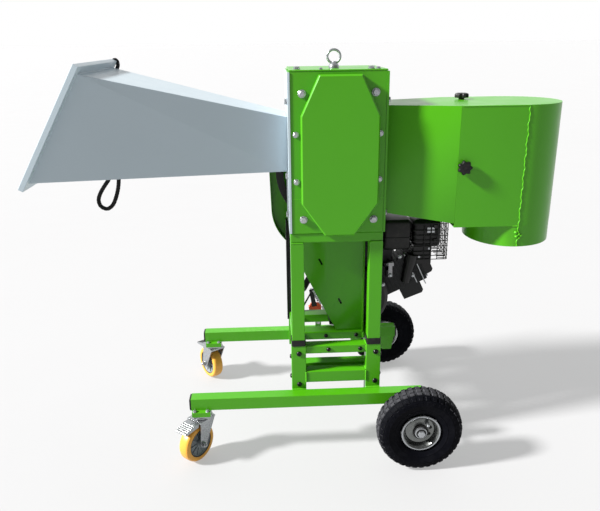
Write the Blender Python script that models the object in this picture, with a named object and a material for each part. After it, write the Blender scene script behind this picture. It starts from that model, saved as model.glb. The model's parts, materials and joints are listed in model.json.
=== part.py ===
"""Twin-shaft petrol garden chipper: frame, chipping unit, hopper, discharge, engine, drive and wheels.

World axes: +X runs from the feed mouth to the discharge hood, -Y faces the gear cover, +Z is up.
Sizes below are millimetres; the ground is z = 0.
"""

import math

import bmesh
import bpy
from mathutils import Vector

MM = 0.001
GAP = 0.3  # clearance between touching pieces
ORIGIN_X = 12.25  # design x that becomes world x = 0, the middle of the overall length

# Frame
TUBE = 40.0
FRAME_HALF = 262.0  # outer face of the base beams
BEAM_X = (-357.0, 384.0)
BEAM_Z = (170.0, 210.0)
LEG_X = (-32.0, 206.0)  # left faces of the front legs
POST_Y = (50.0, 90.0)  # rear posts under the housing
LEG_Y = FRAME_HALF - TUBE  # outer faces of the legs
SOCKET_TOP = 365.0
SOCKET_LIP = 3.0
TOP_BAR_Z = (705.0, 735.0)
RAIL_Z = (334.0, 362.0)
RAIL_WIDTH = 50.0
LOWER_Z = (234.0, 274.0)
PAD_Z = 155.0  # underside of the caster pads

# Chipping unit
BODY_X = (-26.0, 244.0)
BODY_Y = (-222.0, 28.0)
BODY_Z = (735.3, 1198.0)
WALL = 8.0
CHAMBER_Y = (-172.0, -22.0)
SHAFT_X = 112.0
UPPER_Z = 1070.0
LOWER_SHAFT_Z = 854.0
SHAFT_R = 15.0
PAN_RISE = 22.0
THROAT_Z = (913.0, 1071.0)

# Discharge
DUCT_TOP = 1100.0
HOOD_Y = (-234.0, 46.0)
HOOD_X = (455.0, 650.0)
HOOD_BOTTOM = 746.0
OUTLET_BOTTOM = 681.0
OUTLET_R = 139.5
OUTLET_BACK = 120.0  # from the round end's centre to the outlet's left edge
SHEET = 3.0

# Drive
BELT_Y = (100.0, 140.0)
DRIVEN_R = 172.0
CRANK_X, CRANK_Z = 188.0, 468.0
CYLINDER_END = 203.0  # from the crank, along the tilted cylinder
ENGINE_PULLEY_R = 48.0
BELT_THICK = 11.0
TILT = math.radians(25.0)  # cylinder above horizontal

# Wheels
TYRE_R = 133.0
TYRE_WIDTH = 85.0
RIM_R = 61.0
WHEEL_X = 354.0
WHEEL_Y = 344.0
AXLE_R = 10.0
AXLE_END = 382.0
CASTER_R = 62.5
CASTER_X = -325.0
CASTER_TRAIL = 35.0
CASTER_YAW = {"front": math.radians(232.0), "rear": math.radians(125.0)}

COLORS = {
    "green_paint": ((0.11, 0.44, 0.025), 0.35, 0.0),
    "grey_paint": ((0.30, 0.37, 0.40), 0.4, 0.0),
    "zinc": ((0.55, 0.57, 0.58), 0.35, 0.9),
    "steel": ((0.35, 0.35, 0.36), 0.4, 1.0),
    "black_paint": ((0.02, 0.02, 0.022), 0.4, 0.0),
    "black_plastic": ((0.015, 0.015, 0.016), 0.5, 0.0),
    "rubber": ((0.012, 0.012, 0.014), 0.8, 0.0),
    "polyurethane": ((0.85, 0.42, 0.04), 0.35, 0.0),
    "aluminium": ((0.45, 0.46, 0.48), 0.45, 0.9),
    "orange_plastic": ((0.8, 0.12, 0.02), 0.4, 0.0),
    "rope_fibre": ((0.015, 0.015, 0.015), 0.9, 0.0),
}


# ---------------------------------------------------------------- helpers


def clear_scene():
    for obj in list(bpy.data.objects):
        bpy.data.objects.remove(obj)


def material(name):
    found = bpy.data.materials.get(name)
    if found:
        return found
    color, roughness, metallic = COLORS[name]
    made = bpy.data.materials.new(name)
    made.use_nodes = True
    shader = made.node_tree.nodes["Principled BSDF"]
    shader.inputs["Base Color"].default_value = (*color, 1.0)
    shader.inputs["Roughness"].default_value = roughness
    shader.inputs["Metallic"].default_value = metallic
    return made


def add_object(name, verts, faces, mat, at=(0.0, 0.0, 0.0), parent=None):
    """A closed mesh from millimetre points given relative to `at`, which becomes the object's origin."""
    mesh = bpy.data.meshes.new(name)
    mesh.from_pydata([Vector(v) * MM for v in verts], [], faces)
    work = bmesh.new()
    work.from_mesh(mesh)
    bmesh.ops.recalc_face_normals(work, faces=work.faces)
    work.to_mesh(mesh)
    work.free()
    mesh.materials.append(material(mat))
    obj = bpy.data.objects.new(name, mesh)
    bpy.context.scene.collection.objects.link(obj)
    obj.location = Vector(at) * MM
    obj.parent = parent or bpy.data.objects["chipper"]
    return obj


def box(name, lo, hi, mat="green_paint", at=(0.0, 0.0, 0.0), parent=None):
    verts = [(x, y, z) for x in (lo[0], hi[0]) for y in (lo[1], hi[1]) for z in (lo[2], hi[2])]
    faces = [(0, 1, 3, 2), (4, 6, 7, 5), (0, 4, 5, 1), (2, 3, 7, 6), (0, 2, 6, 4), (1, 5, 7, 3)]
    return add_object(name, verts, faces, mat, at, parent)


def loft(name, rings, mat, at=(0.0, 0.0, 0.0), closed=False, parent=None, diagonal=None):
    """Joins rings of equal point counts; a closed loft is a tube bent back on itself."""
    count = len(rings[0])
    verts = [point for ring in rings for point in ring]
    faces = []
    steps = len(rings) if closed else len(rings) - 1
    for i in range(steps):
        a, b = i * count, (i + 1) % len(rings) * count
        for j in range(count):
            k = (j + 1) % count
            quad = (a + j, a + k, b + k, b + j)
            if diagonal and i in diagonal:
                first = diagonal[i][j % len(diagonal[i])]
                faces += [quad[first : first + 3], (quad[(first + 2) % 4], quad[(first + 3) % 4], quad[first])]
            else:
                faces.append(quad)
    if not closed:
        last = (len(rings) - 1) * count
        faces += [tuple(range(count)), tuple(range(last, last + count))]
    return add_object(name, verts, faces, mat, at, parent)


def placed(axis, along, u, v):
    """A point from its place along an axis and its two coordinates across it, in x, y, z order."""
    return {"X": (along, u, v), "Y": (u, along, v), "Z": (u, v, along)}[axis]


def prism(name, outline, axis, lo, hi, mat="green_paint", at=(0.0, 0.0, 0.0), parent=None):
    rings = [[placed(axis, along, u, v) for u, v in outline] for along in (lo, hi)]
    return loft(name, rings, mat, at, parent=parent)


def circle(cu, cv, radius, count, start=0.0, sweep=math.tau):
    whole = abs(sweep - math.tau) < 1e-9
    steps = count if whole else count - 1
    return [
        (cu + radius * math.cos(start + sweep * i / steps), cv + radius * math.sin(start + sweep * i / steps))
        for i in range(count)
    ]


def turned(name, profile, axis, mat, at=(0.0, 0.0, 0.0), count=32, closed=False, parent=None):
    """Revolves (radius, along) points; an open profile gets flat ends, a closed one makes a ring."""
    rings = [[placed(axis, along, u, v) for u, v in circle(0, 0, radius, count)] for radius, along in profile]
    return loft(name, rings, mat, at, closed=closed, parent=parent)


def boolean(target, tool, operation):
    tool.hide_render = True
    tool.display_type = "WIRE"
    modifier = target.modifiers.new(tool.name, "BOOLEAN")
    modifier.operation = operation
    modifier.solver = "EXACT"
    modifier.object = tool


def cut(target, *tools):
    for tool in tools:
        boolean(target, tool, "DIFFERENCE")


def fuse(target, *tools):
    for tool in tools:
        boolean(target, tool, "UNION")


def hull(points):
    """The convex outline around 2-D points, anticlockwise."""
    points = sorted(set(points))
    halves = []
    for ordered in (points, points[::-1]):
        half = []
        for p in ordered:
            while len(half) > 1:
                (ax, ay), (bx, by) = half[-2], half[-1]
                if (bx - ax) * (p[1] - ay) - (by - ay) * (p[0] - ax) > 0:
                    break
                half.pop()
            half.append(p)
        halves.append(half[:-1])
    return halves[0] + halves[1]


def smooth(points, steps):
    """Points on a Catmull-Rom curve through the given ones."""
    ends = [points[0]] + list(points) + [points[-1]]
    curve = []
    for i in range(1, len(ends) - 2):
        p0, p1, p2, p3 = (Vector(p) for p in ends[i - 1 : i + 3])
        for step in range(steps):
            t = step / steps
            curve.append(
                0.5 * (2 * p1 + (p2 - p0) * t + (2 * p0 - 5 * p1 + 4 * p2 - p3) * t**2 + (3 * p1 - p0 - 3 * p2 + p3) * t**3)
            )
    return curve + [Vector(points[-1])]


# ---------------------------------------------------------------- frame


def base_beams():
    """Front and rear base tubes, each with its caster pad, axle bracket and stub axle."""
    for side, sign in (("front", -1), ("rear", 1)):
        y = sorted((sign * FRAME_HALF, sign * LEG_Y))
        beam = box(f"base_beam_{side}", (BEAM_X[0], y[0], BEAM_Z[0]), (BEAM_X[1], y[1], BEAM_Z[1]))
        middle = sign * (FRAME_HALF - TUBE / 2)
        pad = box(
            f"pad_{side}",
            (CASTER_X - 29, middle - 36, PAD_Z),
            (CASTER_X + 29, middle + 36, BEAM_Z[0] + 1),
        )
        bracket = prism(
            f"axle_bracket_{side}",
            [(WHEEL_X - 28, BEAM_Z[0] + 1), (WHEEL_X - 18, 112), (WHEEL_X + 18, 112), (WHEEL_X + 28, BEAM_Z[0] + 1)],
            "Y",
            middle - 14,
            middle + 14,
        )
        reach = sorted((middle, sign * AXLE_END))
        axle = turned(
            f"stub_axle_{side}", [(AXLE_R, a) for a in reach], "Y", "zinc", (WHEEL_X, 0, TYRE_R), 24
        )
        fuse(beam, pad, bracket, axle)
        if sign > 0:
            fuse(beam, box("lever_post", (72, 226, BEAM_Z[1] - 1), (94, 236, 252)))
            for hand, left in zip(("left", "right"), LEG_X):
                lo, hi = (left, LEG_Y - TUBE, BEAM_Z[0]), (left + TUBE, LEG_Y + 1, RAIL_Z[0] - GAP)
                fuse(beam, box(f"rear_stub_{hand}", lo, hi))


def legs():
    """Front legs with their wider sockets, and the rear posts that stand on the side rails."""
    top = TOP_BAR_Z[0] - GAP
    y = (-LEG_Y + GAP, -LEG_Y + TUBE)
    for hand, x in zip(("left", "right"), LEG_X):
        leg = box(f"leg_{hand}", (x, y[0], SOCKET_TOP - 1), (x + TUBE, y[1], top))
        socket = box(
            f"socket_{hand}",
            (x - SOCKET_LIP, y[0], BEAM_Z[0]),
            (x + TUBE + SOCKET_LIP, y[1] + SOCKET_LIP, SOCKET_TOP),
        )
        fuse(leg, socket)
        box(f"post_{hand}", (x, POST_Y[0], RAIL_Z[1] + GAP), (x + TUBE, POST_Y[1], top), "black_paint")


def top_bars():
    """The rectangle that carries the chipping unit."""
    lo, hi = TOP_BAR_Z
    right = LEG_X[1] + TUBE
    box("top_bar_front", (LEG_X[0], -LEG_Y + 3, lo), (right, -LEG_Y + TUBE, hi))
    box("top_bar_rear", (LEG_X[0], POST_Y[0], lo), (right, POST_Y[1], hi))
    for hand, left in zip(("left", "right"), LEG_X):
        box(
            f"top_bar_{hand}",
            (left, -LEG_Y + TUBE + GAP, lo),
            (left + TUBE, POST_Y[0] - GAP, hi),
        )


def rails():
    """Side rails along Y and the three cross rails; the engine bolts to the middle and rear ones."""
    lo, hi = RAIL_Z
    inner = LEG_Y - TUBE - SOCKET_LIP - GAP
    for hand, left in zip(("left", "right"), LEG_X):
        box(f"side_rail_{hand}", (left, -inner, lo), (left + TUBE, LEG_Y, hi))
    front = (-LEG_Y + 5, -inner - 2)
    box(
        "cross_rail_front",
        (LEG_X[0] + TUBE + SOCKET_LIP + GAP, front[0], lo),
        (LEG_X[1] - SOCKET_LIP - GAP, front[1], hi),
    )
    for name, y in (("middle", -118.0), ("rear", 20.0)):
        box(
            f"cross_rail_{name}",
            (LEG_X[0] + TUBE + GAP, y, lo),
            (LEG_X[1] - GAP, y + RAIL_WIDTH, hi),
        )


def lower_bars():
    """The front tie between the sockets and the U-shaped tie behind it."""
    lo, hi = LOWER_Z
    inner_left = LEG_X[0] + TUBE + SOCKET_LIP + GAP
    inner_right = LEG_X[1] - SOCKET_LIP - GAP
    box("lower_bar_front", (inner_left, -LEG_Y + 0.3, lo), (inner_right, -LEG_Y + TUBE, hi))
    cross = box(
        "lower_tie",
        (LEG_X[0], -167.0, lo),
        (LEG_X[1] + TUBE, -127.0, hi),
    )
    foot = -LEG_Y + TUBE + SOCKET_LIP + GAP
    for hand, left in zip(("left", "right"), LEG_X):
        arm = box(f"tie_arm_{hand}", (left, foot, lo), (left + TUBE, -126.0, hi))
        fuse(cross, arm)


def shield_plate():
    """The folded guard in front of the engine, with its cut corner and two slots."""
    bottom, top = RAIL_Z[1] + GAP, TOP_BAR_Z[0] - GAP
    outline = [
        (0, -72), (90, -108), (203, -108), (203, -128), (206, -128), (206, -105), (90.5, -105), (0, -69),
    ]
    plate = prism("shield_plate", outline, "Z", bottom, top)
    corner = prism("shield_corner", [(-40, 300), (80, 300), (119.5, 362), (10, 570), (-40, 660)], "Y", -140, -40)
    slots = []
    for name, x, z in (("upper", 67, 602), ("lower", 130, 467)):
        dx, dz = 5, 9
        outline = [(x - dx - 3, z + dz), (x - dx + 3, z + dz + 2), (x + dx + 3, z - dz), (x + dx - 3, z - dz - 2)]
        slots.append(prism(f"shield_slot_{name}", outline, "Y", -140, -60))
    cut(plate, corner, *slots)


# ---------------------------------------------------------------- chipping unit


def housing_shell():
    """Side plates, floor and the two bearing plates; open at the front, back and top."""
    x0, x1 = BODY_X
    z0, z1 = BODY_Z
    front, back = BODY_Y[0] + WALL + GAP, BODY_Y[1]
    shell = box("housing_shell", (x0, front, z0), (x1, back, z0 + 5))
    walls = [
        box("side_plate_left", (x0, front, z0), (x0 + WALL, back, z1)),
        box("side_plate_right", (x1 - WALL, front, z0), (x1, back, z1)),
        box("bearing_plate_front", (x0, CHAMBER_Y[0] - WALL, z0), (x1, CHAMBER_Y[0], z1)),
        box("bearing_plate_rear", (x0, CHAMBER_Y[1], z0), (x1, CHAMBER_Y[1] + WALL, z1)),
    ]
    fuse(shell, *walls)
    openings = [
        box("throat_hole", (x0 - 5, CHAMBER_Y[0] + 2, THROAT_Z[0] + 2), (x0 + 20, CHAMBER_Y[1] - 2, THROAT_Z[1] - 2)),
        box("discharge_hole", (x1 - 20, CHAMBER_Y[0] + 2, 786), (x1 + 5, CHAMBER_Y[1] - 2, DUCT_TOP - 5)),
    ]
    for name, z in (("upper", UPPER_Z), ("lower", LOWER_SHAFT_Z)):
        openings.append(
            turned(
                f"{name}_shaft_hole",
                [(SHAFT_R + 1, CHAMBER_Y[0] - 20), (SHAFT_R + 1, CHAMBER_Y[1] + 20)],
                "Y",
                "steel",
                (SHAFT_X, 0, z),
                24,
            )
        )
    cut(shell, *openings)


def top_plate():
    x0, x1 = BODY_X
    box("top_plate", (x0 - 2, BODY_Y[0] - 1, BODY_Z[1] + GAP), (x1 + 2, BODY_Y[1], BODY_Z[1] + GAP + 4.5))


def pan_outline(inset):
    """The eight corners of the raised gear pan, as x and z."""
    half, top_half, low_half = 111.5 - inset, 60.0 - inset * 0.6, 44.0 - inset * 0.6
    z_top, z_high, z_low, z_bottom = 1190.0 - inset, 1078.0, 829.0, 732.0 + inset
    right = [(low_half, z_bottom), (half, z_low), (half, z_high), (top_half, z_top)]
    return [(SHAFT_X + 1.5 + x, z) for x, z in right] + [(SHAFT_X + 1.5 - x, z) for x, z in right[::-1]]


def gear_cover():
    """The front plate with its pressed octagonal pan, hollow from behind."""
    front = BODY_Y[0]
    plate = box("gear_cover", (BODY_X[0], front, BODY_Z[0]), (BODY_X[1], front + WALL, BODY_Z[1]))
    rings = []
    for inset, y in ((0, front + 0.5), (0, front - PAN_RISE + 4), (4, front - PAN_RISE)):
        rings.append([(x, y, z) for x, z in pan_outline(inset)])
    pan = loft("gear_pan", rings, "green_paint")
    hollow = prism("gear_pan_hollow", pan_outline(8), "Y", front - PAN_RISE + 5, front + WALL + 5)
    fuse(plate, pan)
    cut(plate, hollow)


def lifting_eye():
    """The ring bolt on top of the housing."""
    x, y, z = 103.0, -140.0, BODY_Z[1] + GAP + 4.5 + GAP
    base = turned("lifting_eye", [(15, 0), (15, 8), (11, 13), (6, 16), (5, 19)], "Z", "zinc", (x, y, z), 24)
    ring_r, bar_r, lift = 18.5, 3.6, 32.0
    rings = []
    for u, v in circle(0, 0, ring_r, 20):
        scale_u, scale_v = u / ring_r, v / ring_r
        section = circle(0, 0, bar_r, 8)
        rings.append([(scale_u * (ring_r + a), b, lift + scale_v * (ring_r + a)) for a, b in section])
    ring = loft("eye_ring", rings, "zinc", (x, y, z), closed=True)
    fuse(base, ring)


def rotor(name, z, y_back):
    """A cutter shaft with its drum and four blades; the origin is on the shaft's axis."""
    y0, y1 = CHAMBER_Y[0] + 5, CHAMBER_Y[1] - 5
    profile = [
        (SHAFT_R, -212.5), (SHAFT_R, y0), (45, y0), (45, y1), (SHAFT_R, y1), (SHAFT_R, y_back),
    ]
    body = turned(name, profile, "Y", "steel", (SHAFT_X, 0, z), 24)
    for index in range(4):
        angle = math.radians(20 + 90 * index)
        along, across = Vector((math.cos(angle), math.sin(angle))), Vector((-math.sin(angle), math.cos(angle)))
        corners = [along * r + across * w for r, w in ((38, -7), (102, -7), (96, 7), (38, 7))]
        blade = prism(f"{name}_blade_{index}", [tuple(c) for c in corners], "Y", y0 + 2, y1 - 2, "steel", (SHAFT_X, 0, z))
        fuse(body, blade)


def gear(name, z, phase):
    """A spur gear keyed to its cutter shaft."""
    teeth, pitch_r = 30, (UPPER_Z - LOWER_SHAFT_Z) / 2
    step = math.tau / teeth
    outline = []
    for tooth in range(teeth):
        centre = (tooth + phase) * step
        for share, radius in ((-0.30, pitch_r - 6.5), (-0.14, pitch_r + 4.5), (0.14, pitch_r + 4.5), (0.30, pitch_r - 6.5)):
            angle = centre + share * step
            outline.append((radius * math.cos(angle), radius * math.sin(angle)))
    body = prism(name, outline, "Y", -208, -184, "steel", (SHAFT_X, 0, z))
    bore = turned(f"{name}_bore", [(SHAFT_R + GAP, -215), (SHAFT_R + GAP, -180)], "Y", "steel", (SHAFT_X, 0, z), 24)
    cut(body, bore)


# ---------------------------------------------------------------- hopper and discharge


def feed_flange():
    """The bolting plate on the feed side."""
    x1 = BODY_X[0] - GAP
    plate = box("feed_flange", (x1 - 7.5, BODY_Y[0] - 2, BODY_Z[0]), (x1, BODY_Y[1], BODY_Z[1] - 1))
    hole = box("flange_hole", (x1 - 20, CHAMBER_Y[0] + 2, THROAT_Z[0] + 2), (x1 + 5, CHAMBER_Y[1] - 2, THROAT_Z[1] - 2))
    cut(plate, hole)


def mouth_ring(grow, depth):
    """The hopper mouth's four corners: grown sideways by `grow`, pushed out along its normal by `depth`."""
    top, bottom = Vector((-577.5, 1204.0)), Vector((-741.5, 920.0))
    down = (bottom - top).normalized()
    out = Vector((down.y, -down.x))
    middle_y, half_y = sum(CHAMBER_Y) / 2, 202.0
    corners = []
    for end, along in ((top, -grow), (bottom, grow)):
        x, z = end + down * along + out * depth
        for side in (-1, 1) if end is top else (1, -1):
            corners.append((x, middle_y + side * (half_y + grow), z))
    return [corners[0], corners[3], corners[2], corners[1]]


def feed_hopper():
    """The folded feed hopper with its turned-out rim, 3 mm sheet, open at both ends."""
    x = BODY_X[0] - GAP - 7.5 - GAP

    def throat(inset):
        y0, y1 = CHAMBER_Y[0] + inset, CHAMBER_Y[1] - inset
        z0, z1 = THROAT_Z[0] + inset, THROAT_Z[1] - inset
        return [(x, y0, z1), (x, y0, z0), (x, y1, z0), (x, y1, z1)]

    rings = [
        throat(0), mouth_ring(0, 0), mouth_ring(22, 0), mouth_ring(22, 15),
        mouth_ring(19, 15), mouth_ring(19, 3), mouth_ring(-3, 3), throat(SHEET),
    ]
    fold = {0: (1, 0, 1, 0), 6: (0, 1, 0, 1)}
    loft("feed_hopper", rings, "grey_paint", closed=True, diagonal=fold)


def feed_rope():
    """The rope loop under the hopper, both ends knotted into its floor."""
    route = [
        (-549, -200, 916.6), (-552, -200, 906), (-567, -200, 886), (-580, -200, 866), (-587, -200, 846), (-582, -200, 828),
        (-565, -200, 820), (-548, -200, 831), (-536, -200, 854), (-527, -200, 882), (-523, -200, 906), (-522, -200, 916.6),
    ]
    points = smooth(route, 4)
    curve = bpy.data.curves.new("feed_rope", "CURVE")
    curve.dimensions = "3D"
    curve.bevel_depth = 6 * MM
    curve.bevel_resolution = 2
    curve.use_fill_caps = True
    spline = curve.splines.new("POLY")
    spline.points.add(len(points) - 1)
    for place, point in zip(spline.points, points):
        place.co = (*(point * MM), 1.0)
    curve.materials.append(material("rope_fibre"))
    obj = bpy.data.objects.new("feed_rope", curve)
    bpy.context.scene.collection.objects.link(obj)
    obj.parent = bpy.data.objects["chipper"]


def duct_ring(x, y, z, inset=0.0):
    return [
        (x, y[0] + inset, z[0] + inset), (x, y[1] - inset, z[0] + inset),
        (x, y[1] - inset, z[1] - inset), (x, y[0] + inset, z[1] - inset),
    ]


def discharge_duct():
    """The flared duct with its flange, and the spigot that the hood slides on."""
    x0 = BODY_X[1] + GAP
    joint = HOOD_X[0] - GAP
    start = (CHAMBER_Y, (783.0, DUCT_TOP))
    end = (HOOD_Y, (758.0, DUCT_TOP))
    spigot = ((HOOD_Y[0] + 4, HOOD_Y[1] - 4), (762.0, DUCT_TOP - 4))
    reach = HOOD_X[0] + 60
    rings = [
        duct_ring(x0, *start), duct_ring(joint, *end), duct_ring(joint, *spigot), duct_ring(reach, *spigot),
        duct_ring(reach, *spigot, SHEET), duct_ring(joint - SHEET, *spigot, SHEET), duct_ring(x0, *start, SHEET),
    ]
    duct = loft("discharge_duct", rings, "green_paint", closed=True)
    flange = box("duct_flange", (x0, BODY_Y[0] - 2, BODY_Z[0]), (x0 + 6, BODY_Y[1], BODY_Z[1] - 1))
    hole = box("duct_flange_hole", (x0 - 5, CHAMBER_Y[0] + 2, 785), (x0 + 8, CHAMBER_Y[1] - 2, DUCT_TOP - 2))
    fuse(duct, flange)
    cut(duct, hole)


def hood_outline(inset, left):
    """The hood in plan: straight sides and a round end."""
    centre = (HOOD_X[1], sum(HOOD_Y) / 2)
    radius = (HOOD_Y[1] - HOOD_Y[0]) / 2 - inset
    arc = circle(*centre, radius, 21, -math.pi / 2, math.pi)
    return [(left, HOOD_Y[1] - inset), (left, HOOD_Y[0] + inset)] + arc


def outlet_outline(inset):
    """The outlet in plan: it follows the hood's round end and closes on a flatter curve."""
    centre_x, centre_y = HOOD_X[1], sum(HOOD_Y) / 2
    outline = []
    for x, y in circle(0.0, 0.0, 1.0, 48):
        reach = OUTLET_R if x > 0 else OUTLET_BACK
        outline.append((centre_x + x * (reach - inset), centre_y + y * (OUTLET_R - inset)))
    return outline


def deflector():
    """The hood that turns the chips down, with its round outlet."""
    hood = prism("deflector", hood_outline(0, HOOD_X[0]), "Z", HOOD_BOTTOM, DUCT_TOP)
    outlet = prism("outlet", outlet_outline(0), "Z", OUTLET_BOTTOM, HOOD_BOTTOM + 1)
    hollow = prism("hood_hollow", hood_outline(SHEET, HOOD_X[0] - 5), "Z", HOOD_BOTTOM + SHEET, DUCT_TOP - SHEET)
    bore = prism("outlet_bore", outlet_outline(SHEET), "Z", OUTLET_BOTTOM - 5, HOOD_BOTTOM + 10)
    fuse(hood, outlet)
    cut(hood, hollow, bore)


def star_knob(name, at, axis, sign):
    """A seven-lobed clamping knob; the origin is on its screw's axis."""
    lobes, outline = 7, []
    for i in range(lobes * 6):
        angle = math.tau * i / (lobes * 6)
        outline.append(tuple(Vector((math.cos(angle), math.sin(angle))) * (19.5 + 2.6 * math.cos(lobes * angle))))
    low, high = sorted((sign * 5.0, sign * 19.0))
    head = prism(name, outline, axis, low, high, "black_plastic", at)
    neck = turned(f"{name}_neck", sorted([(9, sign * GAP), (9, sign * 6)], key=lambda p: p[1]), axis, "black_plastic", at, 20)
    fuse(head, neck)


# ---------------------------------------------------------------- drive


def pulley(name, at, radius, hub_r, bore_r, mat):
    """A belt pulley: a channel rim that holds both belts, a web and a hub."""
    y0, y1 = BELT_Y
    channel = radius - 13
    rim_in = channel - 12
    web0, web1 = y0 + 15, y0 + 25
    profile = [
        (bore_r, y0 + 2), (hub_r, y0 + 2), (hub_r, web0), (rim_in, web0), (rim_in, y0), (radius, y0),
        (channel, y0 + 5), (channel, y1 - 5), (radius, y1), (rim_in, y1), (rim_in, web1), (hub_r, web1),
        (hub_r, y1 - 2), (bore_r, y1 - 2),
    ]
    return turned(name, profile, "Y", mat, at, 36, closed=True)


def drive():
    """Driven pulley, engine pulley with its shaft stub, and the pair of belts as one loop."""
    pulley("driven_pulley", (SHAFT_X, 0, LOWER_SHAFT_Z), DRIVEN_R + 8, 34, SHAFT_R + GAP, "green_paint")
    y0, y1 = BELT_Y
    small = ENGINE_PULLEY_R
    profile = [
        (12.5, 46.5), (12.5, y0), (small, y0), (small - 13, y0 + 5), (small - 13, y1 - 5), (small, y1), (12, y1),
        (12, y1 + 4), (8, y1 + 4),
    ]
    turned("engine_pulley", profile, "Y", "steel", (CRANK_X, 0, CRANK_Z), 32)
    outlines = []
    for grow in (GAP, GAP + BELT_THICK):
        big = circle(SHAFT_X, LOWER_SHAFT_Z, DRIVEN_R - 5 + grow, 72)
        little = circle(CRANK_X, CRANK_Z, small - 13 + grow, 36)
        outlines.append(hull(big + little))
    inner, outer = outlines
    belt = prism("drive_belt", outer, "Y", y0 + 6.5, y1 - 6.5, "rubber")
    core = prism("belt_core", inner, "Y", y0, y1, "rubber")
    cut(belt, core)


def belt_guard():
    """The teardrop plate behind the belts, with a turned lip."""
    y0, y1 = BELT_Y[1] + 8, BELT_Y[1] + 34
    circles = ((SHAFT_X, LOWER_SHAFT_Z, 203.0), (80.0, 718.0, 167.0), (CRANK_X, CRANK_Z, 84.0))

    def outline(inset):
        return hull([p for cx, cz, r in circles for p in circle(cx, cz, r - inset, 64)])

    guard = prism("belt_guard", outline(0), "Y", y0, y1)
    cut(guard, prism("guard_hollow", outline(3), "Y", y0 - 5, y1 - 3))


def tensioner():
    """The idler on its arm beside the belts, and the hand lever that pulls it."""
    pivot = (18.0, 0.0, 432.0)
    tip = (49.0, 89.0)  # roller centre from the pivot, as x and z
    y0, y1 = 91.0, 98.0
    rod = Vector(tip)
    side = Vector((-rod.y, rod.x)).normalized()
    outline = [tuple(side * 12), tuple(side * -12), tuple(rod + side * -9), tuple(rod + side * 9)]
    arm = prism("idler_arm", outline, "Y", y0, y1, "black_paint", pivot)
    roller = turned(
        "idler_roller",
        [(10, y1 - 1), (10, BELT_Y[0] + 2), (26, BELT_Y[0] + 4), (26, BELT_Y[1] - 4), (8, BELT_Y[1] - 3)],
        "Y",
        "steel",
        (pivot[0] + tip[0], 0, pivot[2] + tip[1]),
        28,
    )
    fuse(arm, roller)

    at = (83.0, 0.0, 240.0)
    lever = prism(
        "tension_lever",
        [(-10, -10), (10, -10), (14, 18), (-4, 60), (-20, 132), (-34, 128), (-22, 52), (-13, 14)],
        "Y",
        237.0,
        244.0,
        "black_paint",
        at,
    )
    grip = prism("lever_grip", [(-32, 18), (10, 24), (6, 64), (-36, 58)], "Y", 236.6, 258.0, "orange_plastic", at)
    fuse(lever, grip)


# ---------------------------------------------------------------- engine


def tilted(along, across):
    """A point in the cylinder's own axes, from the crank, as x and z offsets."""
    return (
        along * math.cos(TILT) - across * math.sin(TILT),
        along * math.sin(TILT) + across * math.cos(TILT),
    )


def tilted_prism(name, corners, y0, y1, mat):
    outline = [tilted(*corner) for corner in corners]
    return prism(name, outline, "Y", y0, y1, mat, (CRANK_X, 0, CRANK_Z))


def engine_block():
    """Crankcase with its base and the finned cylinder."""
    at = (CRANK_X, 0, CRANK_Z)
    base = RAIL_Z[1] + GAP - CRANK_Z
    block = box("engine_block", (-88, -62, base), (84, 46, base + 12), "aluminium", at)
    case = turned("crankcase", [(84, -60), (92, -52), (92, 36), (80, 46)], "Y", "aluminium", at, 32)
    skirt = box("crankcase_skirt", (-80, -56, base + 10), (76, 44, 20), "aluminium", at)
    end = CYLINDER_END
    cylinder = tilted_prism("cylinder", [(60, -54), (end, -54), (end, 54), (60, 54)], -50, 42, "aluminium")
    bore = turned("shaft_clearance", [(14, 36), (14, 60)], "Y", "steel", at, 24)
    shroud_outline = [
        (end - 62, -53), (end, -53), (end, -58.5), (end + 10, -58.5), (end + 10, -92), (end + 2, -100), (end - 62, -96),
    ]
    shroud = tilted_prism("lower_shroud", shroud_outline, -46, 30, "aluminium")
    fuse(block, case, skirt, cylinder, shroud)
    for index in range(5):
        a = end - 82 + index * 15
        cut(block, tilted_prism(f"fin_gap_{index}", [(a, 44), (a + 8, 44), (a + 8, 60), (a, 60)], -70, 70, "steel"))
    cut(block, bore)


def cylinder_head():
    """Head with the rocker cover at the cylinder's end."""
    start, joint, tip = CYLINDER_END + 0.4, CYLINDER_END + 37, CYLINDER_END + 67
    outline = [(start, -58), (joint, -58), (joint, 58), (start, 58)]
    head = tilted_prism("cylinder_head", outline, -52, 44, "aluminium")
    corners = [(joint - 1, -48), (tip - 7, -46), (tip, -39), (tip, 39), (tip - 7, 46), (joint - 1, 48)]
    fuse(head, tilted_prism("rocker_cover", corners, -44, 36, "black_paint"))


def rounded(obj, width, segments):
    bevel = obj.modifiers.new("round", "BEVEL")
    bevel.width = width * MM
    bevel.segments = segments


def engine_covers():
    """Fan cover on the gear side, with tank, air cleaner and muffler above."""
    at = (CRANK_X, 0, CRANK_Z)
    profile = [(60, -100), (92, -98), (104, -88), (104, -72), (100, -62.5)]
    turned("fan_cover", profile, "Y", "black_paint", at, 36)
    rounded(box("fuel_tank", (90, -100, 602), (266, 44, 698), "black_paint"), 20, 3)
    cap_at = (150.0, -30.0, 698 + GAP)
    turned("fuel_cap", [(24, 0), (24, 10), (20, 16)], "Z", "black_plastic", cap_at, 28)
    rounded(box("air_cleaner", (274, -66, 622), (366, 52, 724), "black_plastic"), 12, 3)
    rounded(box("muffler", (374, -60, 628), (468, 48, 722), "black_paint"), 16, 3)


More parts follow.
